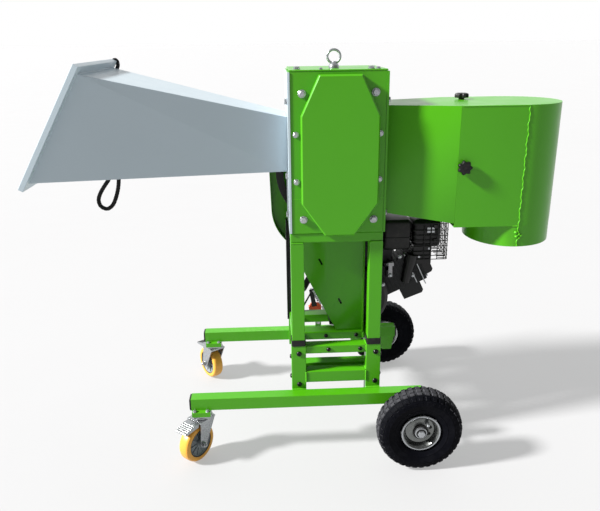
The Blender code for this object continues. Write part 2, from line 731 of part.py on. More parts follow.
def engine_controls():
    """Starter handle, throttle lever and stop switch."""
    handle = box("starter_handle", (-10, -9, -22), (10, 9, 22), "black_plastic", (72.0, -72.0, 520.0))
    rounded(handle, 5, 2)
    at = (CRANK_X + 112, 0.0, CRANK_Z + 72)
    lever = prism("throttle_lever", [(-7, -7), (7, -7), (6, 40), (-6, 40)], "Y", -74, -70, "steel", at)
    fuse(lever, box("throttle_tab", (-9, -82, 34), (9, -69, 46), "black_plastic", at))
    at = (CRANK_X + 60, 0.0, CRANK_Z + 40)
    turned("engine_switch", [(9, -114), (12, -111), (12, -100.3)], "Y", "black_plastic", at, 24)


# ---------------------------------------------------------------- wheels


def big_wheels():
    """The two pneumatic wheels on their rims."""
    half = TYRE_WIDTH / 2
    tyre = [
        (RIM_R + GAP, -25), (74, -36), (98, -half), (114, -half + 1), (126, -half + 7), (131, -half + 18), (TYRE_R, -12),
    ]
    tyre += [(r, -a) for r, a in tyre[::-1]]
    rim = [
        (AXLE_R + GAP, -34), (18, -34), (18, -20), (40, -14), (50, -30), (RIM_R + 8, -33), (RIM_R + 8, -30.5),
        (RIM_R - 4, -26), (RIM_R - 4, 26), (RIM_R + 8, 30.5), (RIM_R + 8, 33), (50, 30), (50, 20), (18, 20), (18, 34),
        (AXLE_R + GAP, 34),
    ]
    rim = [(min(r, RIM_R), a) for r, a in rim]
    for side, sign in (("front", -1), ("rear", 1)):
        at = (WHEEL_X, sign * WHEEL_Y, TYRE_R)
        turned(f"tyre_{side}", tyre, "Y", "rubber", at, 32, closed=True)
        profile = rim if sign < 0 else [(r, -a) for r, a in rim[::-1]]
        turned(f"rim_{side}", profile, "Y", "zinc", at, 24, closed=True)


def casters():
    """Swivel casters with brakes; each is built along its own trail and turned by its parent."""
    for side, sign in (("front", -1), ("rear", 1)):
        parent = bpy.data.objects.new(f"caster_{side}", None)
        bpy.context.scene.collection.objects.link(parent)
        parent.parent = bpy.data.objects["chipper"]
        parent.location = Vector((CASTER_X, sign * (FRAME_HALF - TUBE / 2), 0)) * MM
        parent.rotation_euler = (0, 0, CASTER_YAW[side])
        fork = box(f"caster_fork_{side}", (-26, -30, 136), (CASTER_TRAIL + 6, 30, 141), "zinc", parent=parent)
        stem = turned(f"caster_stem_{side}", [(27, 140), (27, PAD_Z - 3), (20, PAD_Z - GAP)], "Z", "zinc", count=28, parent=parent)
        outline = [(-24, 137), (CASTER_TRAIL + 4, 137), (CASTER_TRAIL + 12, 62), (CASTER_TRAIL - 12, 50)]
        cheeks = [
            prism(f"caster_cheek_{side}_{end}", outline, "Y", y, y + 4, "zinc", parent=parent)
            for end, y in (("a", -30.0), ("b", 26.0))
        ]
        bolt = turned(
            f"caster_bolt_{side}", [(6, -34), (6, 34)], "Y", "zinc", (CASTER_TRAIL, 0, CASTER_R), 20, parent=parent
        )
        fuse(fork, stem, *cheeks, bolt)
        wheel = [
            (6 + GAP, -22), (14, -22), (16, -12), (40, -12), (46, -19), (56, -19), (CASTER_R, -12), (CASTER_R, 12),
            (56, 19), (46, 19), (40, 12), (16, 12), (14, 22), (6 + GAP, 22),
        ]
        turned(
            f"caster_wheel_{side}", wheel, "Y", "polyurethane", (CASTER_TRAIL, 0, CASTER_R), 28, closed=True, parent=parent
        )
        pedal = [(-6, -5), (6, -5), (50, -8), (52, -3), (10, 9), (-6, 8)]
        prism(
            f"brake_pedal_{side}", pedal, "Y", -24, 24, "zinc", (CASTER_TRAIL + 14, 0, 132), parent=parent
        )


def build():
    clear_scene()
    root = bpy.data.objects.new("chipper", None)
    bpy.context.scene.collection.objects.link(root)
    root.location = (-ORIGIN_X * MM, 0.0, 0.0)
    base_beams()
    legs()
    top_bars()
    rails()
    lower_bars()
    shield_plate()
    housing_shell()
    top_plate()
    gear_cover()
    lifting_eye()
    rotor("upper_rotor", UPPER_Z, 40.0)
    rotor("lower_rotor", LOWER_SHAFT_Z, BELT_Y[1] + 4)
    gear("upper_gear", UPPER_Z, 0.0)
    gear("lower_gear", LOWER_SHAFT_Z, 0.5)
    feed_flange()
    feed_hopper()
    feed_rope()
    discharge_duct()
    deflector()
    star_knob("knob_top", (510.0, -35.0, DUCT_TOP), "Z", 1)
    star_knob("knob_front", (472.0, HOOD_Y[0], 927.0), "Y", -1)
    drive()
    belt_guard()
    tensioner()
    engine_block()
    cylinder_head()
    engine_covers()
    engine_controls()
    big_wheels()
    casters()


build()
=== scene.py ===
"""The garden chipper's visual model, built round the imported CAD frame.

Shapes are written in the design's own millimetres (x = 0 at the housing's left plate line, ground at z = 0)
and turned into the row's metres once, by TO_ROW.
"""

import json
import math

import bmesh
import bpy
from mathutils import Matrix, Vector


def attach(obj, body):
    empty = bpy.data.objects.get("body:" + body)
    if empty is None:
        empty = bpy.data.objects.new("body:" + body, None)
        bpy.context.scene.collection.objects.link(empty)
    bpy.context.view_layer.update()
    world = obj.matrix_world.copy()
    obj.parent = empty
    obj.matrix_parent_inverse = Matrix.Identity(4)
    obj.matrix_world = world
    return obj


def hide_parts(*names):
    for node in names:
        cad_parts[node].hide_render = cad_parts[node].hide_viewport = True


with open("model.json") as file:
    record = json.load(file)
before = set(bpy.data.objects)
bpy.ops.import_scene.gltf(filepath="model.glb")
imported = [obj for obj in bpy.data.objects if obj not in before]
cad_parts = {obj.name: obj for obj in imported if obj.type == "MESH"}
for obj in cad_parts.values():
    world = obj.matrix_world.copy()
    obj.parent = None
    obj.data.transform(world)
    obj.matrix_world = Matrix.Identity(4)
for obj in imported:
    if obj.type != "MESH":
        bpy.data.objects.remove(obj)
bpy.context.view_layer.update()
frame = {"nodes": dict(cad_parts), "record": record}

ORIGIN_X = 12.25  # design x at the row's origin
TO_ROW = Matrix.Scale(0.001, 4) @ Matrix.Translation((-ORIGIN_X, 0, 0))
BODIES = frame["record"]["behaviour"]["bodies"]
BODY_OF = {node: body for body, nodes in BODIES.items() for node in nodes}

# Driving dimensions, millimetres
TUBE = 40.0
LEG_X = (-32.0, 206.0)
LEG_FRONT = -221.7
LEG_INNER = -184.0  # where welds along the legs' inner faces stop
LEG_HEAD = 704.8
SOCKET_TOP = 365.0
RAIL_TOP = 362.5
RAIL_MIDDLE_Z = 348.0
COVER_FRONT = -222.0
HOUSING_X = (-26.0, 244.0)
FLANGE_FEED_X = -34.1
FLANGE_DUCT_X = 250.3
TOP_PLATE_Z = 1202.8
BEAM_X = (-357.0, 384.0)
BEAM_Y = 242.0
BEAM_Z = (170.0, 210.0)
STUB_Y = 256.5  # where the stub axles leave the beams' brackets
SHAFT_X = 112.0
SHAFT_Z = {"upper": 1070.0, "lower": 854.0}
HOOD_CENTRE = (650.0, -94.0)
HOOD_HALF = 140.0
HOOD_LEFT = 459.0
HOOD_Z = (746.0, 1100.0)
OUTLET = (120.0, 139.5, 681.0)  # reach to the left, half width, bottom
CRANK = (188.0, 468.0)
TILT = math.radians(25.0)
BELT_Y = (112.75, 127.25)  # middles of the two grooves
GROOVE_DEPTH = 13.5
DRIVEN_R = 180.0
ENGINE_PULLEY_R = 48.0
WHEEL = (354.0, 133.0)
WHEEL_Y = 344.0
VALVE_R = 33.0
TREAD_REACH = (0.1268, 0.1295)  # metres from the hub between which a tyre turns dusty
CASTER_X = -325.0
CASTER_TRAIL = 35.0
CASTER_YAW = {"front": math.radians(232.0), "rear": math.radians(125.0)}
CASTER_R = 62.5
PAD_Z = 155.0
KEY_SIDE = (-0.81, -0.17, 0.56)  # towards the key light
ROPE_Y = -200.0
ROPE_XZ = [
    (-549, 916.6), (-552, 906), (-567, 886), (-580, 866), (-587, 846), (-582, 828),
    (-565, 820), (-548, 831), (-536, 854), (-527, 882), (-523, 906), (-522, 916.6),
]
ROPE_R = 6.0
ENGINE_SKINS = {  # finish, bevel and, on round shapes, the sharpest edge left smooth
    "fan_cover": ("black_paint", 1.2),
    "fuel_tank": ("black_paint", 1.0, 50.0),
    "fuel_cap": ("black_plastic", 1.0),
    "air_cleaner": ("black_plastic", 1.0, 50.0),
    "muffler": ("black_paint", 1.0, 50.0),
    "starter_handle": ("black_plastic", 0.8, 40.0),
    "throttle_lever": ("steel", 0.6),
    "engine_switch": ("black_plastic", 0.8),
}
TUBES = (
    "base_beam_front", "base_beam_rear", "leg_left", "leg_right", "post_left", "post_right",
    "top_bar_front", "top_bar_rear", "top_bar_left", "top_bar_right", "side_rail_left", "side_rail_right",
    "cross_rail_front", "cross_rail_middle", "cross_rail_rear", "lower_bar_front", "lower_tie",
)


# ---- camera


def make_camera():
    """The studio camera: left of the middle, above the hopper, turned and rolled a little."""
    yaw, pitch, roll = math.radians(2.48), math.radians(18.80), math.radians(0.753)
    ahead = Vector((math.sin(yaw) * math.cos(pitch), math.cos(yaw) * math.cos(pitch), -math.sin(pitch)))
    right = Vector((math.cos(yaw), -math.sin(yaw), 0))
    down = ahead.cross(right)
    side = math.cos(roll) * right + math.sin(roll) * down
    below = math.cos(roll) * down - math.sin(roll) * right
    data = bpy.data.cameras.new("studio_camera")
    data.sensor_width = 36.0
    data.lens = 38.2
    camera = bpy.data.objects.new("studio_camera", data)
    turn = Matrix((side, -below, -ahead)).transposed().to_4x4()
    camera.matrix_world = Matrix.Translation((-0.09475, -2.0302, 1.2834)) @ turn
    bpy.context.scene.collection.objects.link(camera)
    bpy.context.scene.camera = camera


# ---- materials


class Shader:
    """A node material: `add` makes a node, with sockets linked or set by name or index."""

    def __init__(self, name):
        self.material = bpy.data.materials.new(name)
        self.material.use_nodes = True
        self.tree = self.material.node_tree
        self.surface = self.tree.nodes["Principled BSDF"]
        self.place = self.add("ShaderNodeTexCoord").outputs["Object"]

    def add(self, kind, inputs=None, **settings):
        made = self.tree.nodes.new(kind)
        for key, value in settings.items():
            setattr(made, key, value)
        self.feed(made, inputs or {})
        return made

    def feed(self, made, inputs):
        for key, value in inputs.items():
            socket = made.inputs[key]
            if isinstance(value, bpy.types.NodeSocket):
                self.tree.links.new(value, socket)
            else:
                socket.default_value = value

    def noise(self, scale, detail=3.0, rough=0.55, stretch=None):
        place = self.place
        if stretch:
            place = self.add("ShaderNodeMapping", {"Vector": place, "Scale": stretch}).outputs[0]
        wanted = {"Vector": place, "Scale": scale, "Detail": detail, "Roughness": rough}
        return self.add("ShaderNodeTexNoise", wanted).outputs[0]

    def ramp(self, value, low, high, first=0.0, last=1.0):
        """Maps low..high to first..last, clamped."""
        wanted = {"Value": value, "From Min": low, "From Max": high, "To Min": first, "To Max": last}
        return self.add("ShaderNodeMapRange", wanted, interpolation_type="SMOOTHSTEP").outputs[0]

    def times(self, a, b):
        return self.add("ShaderNodeMath", {0: a, 1: b}, operation="MULTIPLY").outputs[0]

    def plus(self, a, b):
        return self.add("ShaderNodeMath", {0: a, 1: b}, operation="ADD").outputs[0]

    def mix(self, factor, a, b):
        made = self.add("ShaderNodeMix", data_type="RGBA")
        for index, value in ((0, factor), (6, a), (7, b)):
            if isinstance(value, bpy.types.NodeSocket):
                self.tree.links.new(value, made.inputs[index])
            else:
                made.inputs[index].default_value = (*value, 1.0) if index else value
        return made.outputs[2]

    def bump(self, height, distance):
        made = self.add("ShaderNodeBump", {"Height": height, "Distance": distance})
        self.tree.links.new(made.outputs[0], self.surface.inputs["Normal"])

    def edges(self):
        """1 on outside edges, broken up by noise."""
        point = self.add("ShaderNodeNewGeometry").outputs["Pointiness"]
        return self.times(self.ramp(point, 0.62, 0.74), self.ramp(self.noise(90, 4), 0.42, 0.58))


def scaled(color, by):
    return tuple(min(1.0, c * by) for c in color)


def painted(name, color, rough, tone, peel, wear_color, wear, dust):
    """Sprayed enamel: slightly uneven tone, orange peel, rubbed edges and dust near the ground."""
    s = Shader(name)
    broad = s.noise(4.5, 4)
    base = s.mix(broad, scaled(color, 1 - tone), scaled(color, 1 + tone))
    scuff = s.times(s.ramp(s.noise(40, 6, 0.7, (1, 1, 5)), 0.68, 0.78), 0.06)
    base = s.mix(scuff, base, scaled(color, 1.3))
    base = s.mix(s.times(s.edges(), wear), base, wear_color)
    height = s.add("ShaderNodeSeparateXYZ", {0: s.place}).outputs[2]
    low = s.times(s.ramp(height, 0.30, 0.0), s.ramp(s.noise(11, 5, 0.7), 0.40, 0.70))
    base = s.mix(s.times(low, dust), base, (0.42, 0.38, 0.30))
    gloss = s.ramp(s.noise(16, 4), 0.3, 0.7, rough - 0.02, rough + 0.04)
    s.feed(s.surface, {"Base Color": base, "Roughness": gloss})
    for socket, value in (("Specular IOR Level", 0.28), ("Coat Weight", 0.06), ("Coat Roughness", 0.10)):
        s.surface.inputs[socket].default_value = value
    s.bump(s.plus(s.noise(420, 2), s.times(broad, 6.0)), peel)
    return s.material


def bare_metal(name, color, rough, metallic, spangle=0.0, grain=(1, 1, 1), grain_scale=180.0, stain=0.2):
    """Zinc, steel or cast metal: crystal spangle, grain lines and dull stains."""
    s = Shader(name)
    cells = s.add("ShaderNodeTexVoronoi", {"Vector": s.place, "Scale": 140.0}, feature="F1").outputs["Color"]
    cell = s.add("ShaderNodeSeparateColor", {0: cells}).outputs[0]
    lines = s.noise(grain_scale, 3, 0.6, grain)
    base = s.mix(s.ramp(lines, 0.35, 0.65), scaled(color, 0.8), color)
    base = s.mix(s.times(cell, spangle), base, scaled(color, 0.72))
    dull = s.times(s.ramp(s.noise(14, 5, 0.7), 0.50, 0.75), stain)
    base = s.mix(dull, base, scaled(color, 0.45))
    rough_out = s.plus(s.ramp(lines, 0.3, 0.7, rough - 0.06, rough + 0.08), s.times(dull, 0.3))
    s.feed(s.surface, {"Base Color": base, "Roughness": rough_out})
    s.surface.inputs["Metallic"].default_value = metallic
    s.bump(lines, 0.00006)
    return s.material


def moulded(
    name, color, rough, pebble_scale, pebble, tone=0.12,
    dust=0.05, dust_color=(0.28, 0.26, 0.23), tread=0.0, shine=0.3,
):
    """Plastic or rubber: pebbled skin, patchy sheen and settled dust; `tread` dusts a tyre's blocks and
    paints a highlight along their edges.
    """
    s = Shader(name)
    cells = s.add("ShaderNodeTexVoronoi", {"Vector": s.place, "Scale": pebble_scale}, feature="SMOOTH_F1")
    broad = s.noise(9, 4)
    base = s.mix(broad, scaled(color, 1 - tone), scaled(color, 1 + tone))
    settled = s.times(s.ramp(s.noise(35, 6, 0.72), 0.45, 0.72), dust)
    base = s.mix(settled, base, dust_color)
    # On a tyre the block edges are painted strongly lighter, rubbed dust and a painted highlight together;
    # other moulded parts get only faintly rubbed edges.
    rub_and_edge_highlight, rubbed = (0.7, scaled(dust_color, 1.4)) if tread else (0.06, scaled(dust_color, 0.8))
    base = s.mix(s.times(s.edges(), rub_and_edge_highlight), base, rubbed)
    if tread:
        to_hub = ((ORIGIN_X - WHEEL[0]) * 0.001, 0.0, -WHEEL[1] * 0.001)
        spoke = s.add("ShaderNodeMapping", {0: s.place, "Location": to_hub, "Scale": (1, 0, 1)})
        reach = s.add("ShaderNodeVectorMath", {0: spoke.outputs[0]}, operation="LENGTH").outputs["Value"]
        worn = s.times(s.ramp(reach, *TREAD_REACH), s.ramp(s.noise(60, 5, 0.7), 0.25, 0.6, 0.6, 1.0))
        base = s.mix(s.times(worn, tread), base, dust_color)
    gloss = s.ramp(broad, 0.3, 0.7, rough - 0.07, rough + 0.07)
    s.feed(s.surface, {"Base Color": base, "Roughness": gloss})
    s.surface.inputs["Specular IOR Level"].default_value = shine
    s.bump(s.plus(cells.outputs["Distance"], s.times(s.noise(600, 2), 0.3)), pebble)
    return s.material


# colour, roughness, tone, orange peel, worn colour, wear, dust
PAINTS = {
    "green_paint": ((0.058, 0.300, 0.004), 0.30, 0.04, 0.00003, (0.20, 0.50, 0.10), 0.30, 0.06),
    "weld": ((0.075, 0.36, 0.008), 0.34, 0.08, 0.0003, (0.30, 0.60, 0.20), 0.3, 0.05),
    "grey_paint": ((0.43, 0.51, 0.56), 0.34, 0.03, 0.00003, (0.60, 0.66, 0.70), 0.35, 0.0),
    "black_paint": ((0.003, 0.003, 0.0033), 0.34, 0.10, 0.0001, (0.10, 0.10, 0.10), 0.35, 0.05),
    "orange_plastic": ((0.62, 0.075, 0.015), 0.4, 0.08, 0.0001, (0.75, 0.25, 0.12), 0.3, 0.05),
}
# colour, roughness, metallic, spangle, grain's stretch and scale, stain
METALS = {
    "zinc": ((0.46, 0.48, 0.50), 0.30, 0.85, 0.55),
    # The darker copy of zinc: painted shade and dark reflection, on the rims' dishes and the pedals' ribs.
    "dull_zinc": ((0.20, 0.21, 0.205), 0.26, 0.95, 0.35, (1, 1, 1), 180.0, 0.25),
    "steel": ((0.30, 0.30, 0.31), 0.34, 0.95, 0.0, (1, 14, 1), 180.0, 0.25),
    "aluminium": ((0.020, 0.021, 0.022), 0.48, 0.6, 0.0, (1, 1, 1), 320.0, 0.3),
}
# colour, roughness, pebbles to the metre, their depth, tone, dust, dust's colour, dust on the tread, shine
MOULDED = {
    "black_plastic": ((0.004, 0.004, 0.0043), 0.44, 900.0, 0.0001),
    "rubber": ((0.007, 0.007, 0.0075), 0.60, 500.0, 0.00008),
    "tyre": ((0.0015, 0.0017, 0.0032), 0.66, 420.0, 0.00016, 0.12, 0.02, (0.15, 0.15, 0.165), 0.30, 0.05),
    "polyurethane": ((0.70, 0.34, 0.05), 0.33, 700.0, 0.00004, 0.06, 0.06, (0.45, 0.28, 0.12)),
    "caster_core": ((0.17, 0.195, 0.205), 0.45, 800.0, 0.0001, 0.10),
    "rope_fibre": ((0.006, 0.006, 0.006), 0.85, 1400.0, 0.0006, 0.3),
}
FINISH = {}
for make, looks in ((painted, PAINTS), (bare_metal, METALS), (moulded, MOULDED)):
    FINISH |= {name: make(name, *look) for name, look in looks.items()}


# ---- mesh helpers

ALONG_Y = Matrix(((1, 0, 0, 0), (0, 0, 1, 0), (0, 1, 0, 0), (0, 0, 0, 1)))  # local z on +Y, y on +Z
ALONG_X = Matrix(((0, 0, 1, 0), (0, 1, 0, 0), (1, 0, 0, 0), (0, 0, 0, 1)))  # local z on +X, x on +Z
TURNED = {1: Matrix.Rotation(0, 4, "X"), -1: Matrix.Rotation(math.pi, 4, "X")}  # by the side faced
TILTED = Matrix.Translation((CRANK[0], 0, CRANK[1])) @ Matrix.Rotation(-TILT, 4, "Y")


def aimed(at, axis):
    """Local z along `axis`, origin at `at`."""
    return Matrix.Translation(at) @ Vector(axis).to_track_quat("Z", "Y").to_matrix().to_4x4()


def join_rings(work, rings, closed=False):
    """Faces between neighbouring rings of vertices, with end caps unless the rings close on themselves."""
    pairs = list(zip(rings, rings[1:]))
    if closed:
        pairs.append((rings[-1], rings[0]))
    count = max(len(ring) for ring in rings)
    for a, b in pairs:
        for i in range(count):
            j = (i + 1) % count
            corners = [a[i % len(a)], a[j % len(a)], b[j % len(b)], b[i % len(b)]]
            work.faces.new(list(dict.fromkeys(corners)))
    if not closed:
        for ring in (rings[0], rings[-1]):
            if len(ring) > 2:
                work.faces.new(ring)


def lathe(work, profile, place=Matrix(), count=48, closed=False):
    """Revolves (radius, height) points about the local z axis; radius 0 makes a pole."""
    rings = []
    for radius, height in profile:
        spots = [(0.0, 0.0)] if radius == 0 else circle(0, 0, radius, count)
        rings.append([work.verts.new(place @ Vector((u, v, height))) for u, v in spots])
    join_rings(work, rings, closed)


def extrude(work, outline, lo, hi, place=Matrix()):
    """A prism of a local xy outline from height lo to hi."""
    join_rings(work, [[work.verts.new(place @ Vector((u, v, h))) for u, v in outline] for h in (lo, hi)])


def block(work, lo, hi, place=Matrix()):
    """A box between two local corners, for bevelling."""
    outline = [(lo[0], lo[1]), (hi[0], lo[1]), (hi[0], hi[1]), (lo[0], hi[1])]
    extrude(work, outline, lo[2], hi[2], place)


def sweep(work, points, radius, count=10, closed=False, rib=None):
    """A tube along points.

    `radius` is a number or one per point, and `rib` is the count, depth and pitch of twisted strands.
    """
    points = [Vector(p) for p in points]
    last, rings, side, run = len(points) - 1, [], None, 0.0
    for i, point in enumerate(points):
        before = points[i - 1] if i or closed else point
        after = points[(i + 1) % len(points)] if i < last or closed else point
        ahead = (after - before).normalized()
        side = side or ahead.orthogonal()
        side = (side - ahead * side.dot(ahead)).normalized()
        up = ahead.cross(side)
        run += (point - points[i - 1]).length if i else 0.0
        size = radius[i] if isinstance(radius, list) else radius
        ring = []
        for step in range(count):
            angle = math.tau * step / count
            reach = size
            if rib:
                reach -= rib[1] * (1 - abs(math.cos(rib[0] * (angle - math.tau * run / rib[2]) / 2)))
            ring.append(work.verts.new(point + (side * math.cos(angle) + up * math.sin(angle)) * reach))
        rings.append(ring)
    join_rings(work, rings, closed)


def circle(cu, cv, radius, count, start=0.0, sweep_angle=math.tau):
    """Points round a whole circle, or along an arc with both of its ends."""
    steps = count if abs(sweep_angle - math.tau) < 1e-9 else count - 1
    angles = [start + sweep_angle * i / steps for i in range(count)]
    return [(cu + radius * math.cos(a), cv + radius * math.sin(a)) for a in angles]


def rounded(lo, hi, radius, count=5):
    """A rectangle outline with round corners."""
    outline = []
    corners = ((hi[0] - radius, hi[1] - radius), (lo[0] + radius, hi[1] - radius))
    corners += ((lo[0] + radius, lo[1] + radius), (hi[0] - radius, lo[1] + radius))
    for quarter, (u, v) in enumerate(corners):
        outline += circle(u, v, radius, count, quarter * math.pi / 2, math.pi / 2)
    return outline


def curve_through(points, steps):
    """Points on a Catmull-Rom curve through the given ones."""
    ends = [points[0]] + list(points) + [points[-1]]
    made = []
    for i in range(1, len(ends) - 2):
        p0, p1, p2, p3 = (Vector(p) for p in ends[i - 1 : i + 3])
        for step in range(steps):
            t = step / steps
            bend = (2 * p0 - 5 * p1 + 4 * p2 - p3) * t**2 + (3 * p1 - p0 - 3 * p2 + p3) * t**3
            made.append(0.5 * (2 * p1 + (p2 - p0) * t + bend))
    return made + [Vector(points[-1])]


def bead(work, start, end, radius=2.6, pitch=4.0):
    """A rippled weld bead along a straight joint."""
    start, end = Vector(start), Vector(end)
    steps = max(4, round((end - start).length / 1.3))
    points = [start.lerp(end, i / steps) for i in range(steps + 1)]
    length = (end - start).length
    waves = [abs(math.sin(math.pi * length * i / steps / pitch)) for i in range(steps + 1)]
    sweep(work, points, [radius * (0.78 + 0.26 * wave) for wave in waves], 8)


def hexagon(work, place, across, low, high):
    """A chamfered hexagon head or nut between two heights."""
    corner = across / math.sqrt(3)
    profile = [(corner - 0.8, low), (corner, low + 0.8), (corner, high - 1.2), (corner - 1.8, high)]
    lathe(work, profile + [(0, high)], place, 6)


def bolt(work, at, axis, across=17.0, nut=False):
    """A washer with a hexagon head, or a nut with its threaded end."""
    place = aimed(at, axis)
    washer = across * 0.66
    profile = [(0, 0), (washer, 0), (washer + 0.3, 0.5), (washer + 0.3, 1.6), (washer - 0.3, 2.1), (0, 2.1)]
    lathe(work, profile, place, 28)
    top = 2.1 + across * (0.52 if nut else 0.40)
    hexagon(work, place, across, 2.1, top)
    if nut:
        end = across * 0.27
        thread = [(0, top - 1), (end, top - 1), (end, top + 3.5), (end - 1, top + 4.5), (0, top + 4.5)]
        lathe(work, thread, place, 20)


def button(work, at, axis, radius=8.5):
    """A domed socket screw."""
    place = aimed(at, axis)
    profile = [(radius, 0), (radius, 1.2), (radius * 0.93, 3.0), (radius * 0.7, 4.6), (radius * 0.45, 5.2)]
    lathe(work, profile + [(radius * 0.40, 5.2), (radius * 0.38, 2.4), (0, 2.4)], place, 24)


def piece(name, work, finish, body, stands_for=(), bevel=0.0, limit=30.0, segments=2, in_row=False):
    """The bmesh as an object on a body, with edges sharper than `limit` rounded by `bevel` millimetres."""
    if not in_row:
        work.transform(TO_ROW)
    bmesh.ops.recalc_face_normals(work, faces=work.faces)
    for face in work.faces:
        face.smooth = True
    mesh = bpy.data.meshes.new(name)
    work.to_mesh(mesh)
    work.free()
    mesh.set_sharp_from_angle(angle=math.radians(limit))
    mesh.materials.append(FINISH[finish])
    obj = bpy.data.objects.new(name, mesh)
    bpy.context.scene.collection.objects.link(obj)
    if bevel:
        edge = obj.modifiers.new("edge", "BEVEL")
        edge.width = bevel * 0.001
        edge.segments = segments
        edge.limit_method = "ANGLE"
        edge.angle_limit = math.radians(limit)
        edge.harden_normals = True
    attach(obj, body)
    if stands_for:
        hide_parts(*stands_for)
    return obj


def skin(node, finish, bevel=1.0, limit=30.0, segments=2):
    """The node's own shape with flat faces merged and edges rounded."""
    work = bmesh.new()
    work.from_mesh(frame["nodes"][node].data)
    bmesh.ops.remove_doubles(work, verts=work.verts, dist=1e-5)
    bmesh.ops.dissolve_limit(work, angle_limit=math.radians(0.6), verts=work.verts, edges=work.edges)
    return piece(f"{node}_body", work, finish, BODY_OF[node], [node], bevel, limit, segments, in_row=True)


def tint(obj, finish, test):
    """Gives faces whose middle, in design millimetres, passes the test another finish."""
    obj.data.materials.append(FINISH[finish])
    index = len(obj.data.materials) - 1
    back = TO_ROW.inverted()
    for face in obj.data.polygons:
        if test(back @ face.center):
            face.material_index = index


# ---- stage


def make_stage():
    """A pale floor under a soft sun from the left, with a surround that is bright behind it."""
    s = Shader("studio_floor")
    tone = s.mix(s.noise(0.6, 3), (0.23, 0.23, 0.235), (0.24, 0.24, 0.245))
    s.feed(s.surface, {"Base Color": tone, "Roughness": s.ramp(s.noise(3.0, 3), 0.3, 0.7, 0.85, 0.95)})
    s.surface.inputs["Emission Color"].default_value = (1.0, 1.0, 1.0, 1.0)
    s.surface.inputs["Emission Strength"].default_value = 0.39
    s.bump(s.noise(240, 2), 0.00003)
    work = bmesh.new()
    bmesh.ops.create_circle(work, cap_ends=True, segments=96, radius=200.0)
    mesh = bpy.data.meshes.new("studio_floor")
    work.to_mesh(mesh)
    work.free()
    mesh.materials.append(s.material)
    floor = bpy.data.objects.new("studio_floor", mesh)
    data = bpy.data.lights.new("key_light", "SUN")
    data.energy, data.angle, data.color = 9.4, math.radians(7), (1.0, 0.99, 0.97)
    key = bpy.data.objects.new("key_light", data)
    key.matrix_world = Vector(KEY_SIDE).to_track_quat("Z", "Y").to_matrix().to_4x4()
    for obj in (floor, key):
        bpy.context.scene.collection.objects.link(obj)

    world = bpy.data.worlds.new("studio")
    world.use_nodes = True
    nodes, links = world.node_tree.nodes, world.node_tree.links
    split = nodes.new("ShaderNodeSeparateXYZ")
    links.new(nodes.new("ShaderNodeTexCoord").outputs["Generated"], split.inputs[0])
    fade = nodes.new("ShaderNodeMapRange")
    links.new(split.outputs[1], fade.inputs["Value"])
    for key_name, value in (("From Min", -0.4), ("From Max", 0.7), ("To Min", 0.20), ("To Max", 1.0)):
        fade.inputs[key_name].default_value = value
    links.new(fade.outputs[0], nodes["Background"].inputs["Strength"])
    nodes["Background"].inputs["Color"].default_value = (1.0, 1.0, 1.0, 1.0)
    bpy.context.scene.world = world
    bpy.context.scene.view_settings.view_transform = "Standard"


# ---- hopper


def make_rope():
    """The rope that hangs as a loop through the hopper's floor."""
    route = curve_through([(x, ROPE_Y, z) for x, z in ROPE_XZ], 8)
    work = bmesh.new()
    sweep(work, route, ROPE_R, 20, rib=(3, 0.7, 26.0))
    rope = piece("pull_rope", work, "rope_fibre", "chipper", ["feed_rope"], limit=60)


def make_hopper():
    """Folded feed hopper, a black strip at its back top corner that paints the rim flange's shade, and the
    rope's grommets.
    """
    skin("feed_hopper", "grey_paint", 1.2, 4.0)
    work = bmesh.new()
    for x, _ in (ROPE_XZ[0], ROPE_XZ[-1]):
        place = aimed((x, ROPE_Y, 917.0), (0, 0, -1))
        profile = [(6.6, -1), (10.5, -1), (10.8, 1.2), (9.6, 3.0), (7.6, 3.6), (6.6, 3.0)]
        lathe(work, profile, place, 28, closed=True)
    piece("rope_grommets", work, "rubber", "chipper", limit=50)
    work = bmesh.new()
    # A black rubber strip along the back top corner of the mouth: painted shade, standing for the shaded
    # underside of the rim flange.
    line = [(-581, 117, 1223), (-573, 123, 1227), (-567, 126, 1222)]
    line += [(-566, 127, 1210), (-571, 127, 1199), (-579, 126, 1190)]
    sweep(work, curve_through(line, 5), 6.0, 12)
    piece("hopper_corner_shade_strip", work, "rubber", "chipper", limit=50)


# ---- frame


def plug(work, at, axis, half=20.0):
    """A plastic end cap on a square tube."""
    place = aimed(at, axis)
    extrude(work, rounded((-half, -half), (half, half), 4.0), 0.0, 5.0, place)
    extrude(work, rounded((-half + 3, -half + 3), (half - 3, half - 3), 4.0), 5.0, 6.2, place)


def collar(work, lo, hi, wall, radius=4.0):
    """A square ring of tube from corner lo to corner hi."""
    rings = []
    for inset, height in ((0, lo[2]), (0, hi[2]), (wall, hi[2]), (wall, lo[2])):
        low, high = (lo[0] + inset, lo[1] + inset), (hi[0] - inset, hi[1] - inset)
        outline = rounded(low, high, max(1.0, radius - inset))
        rings.append([work.verts.new((u, v, height)) for u, v in outline])
    join_rings(work, rings, closed=True)


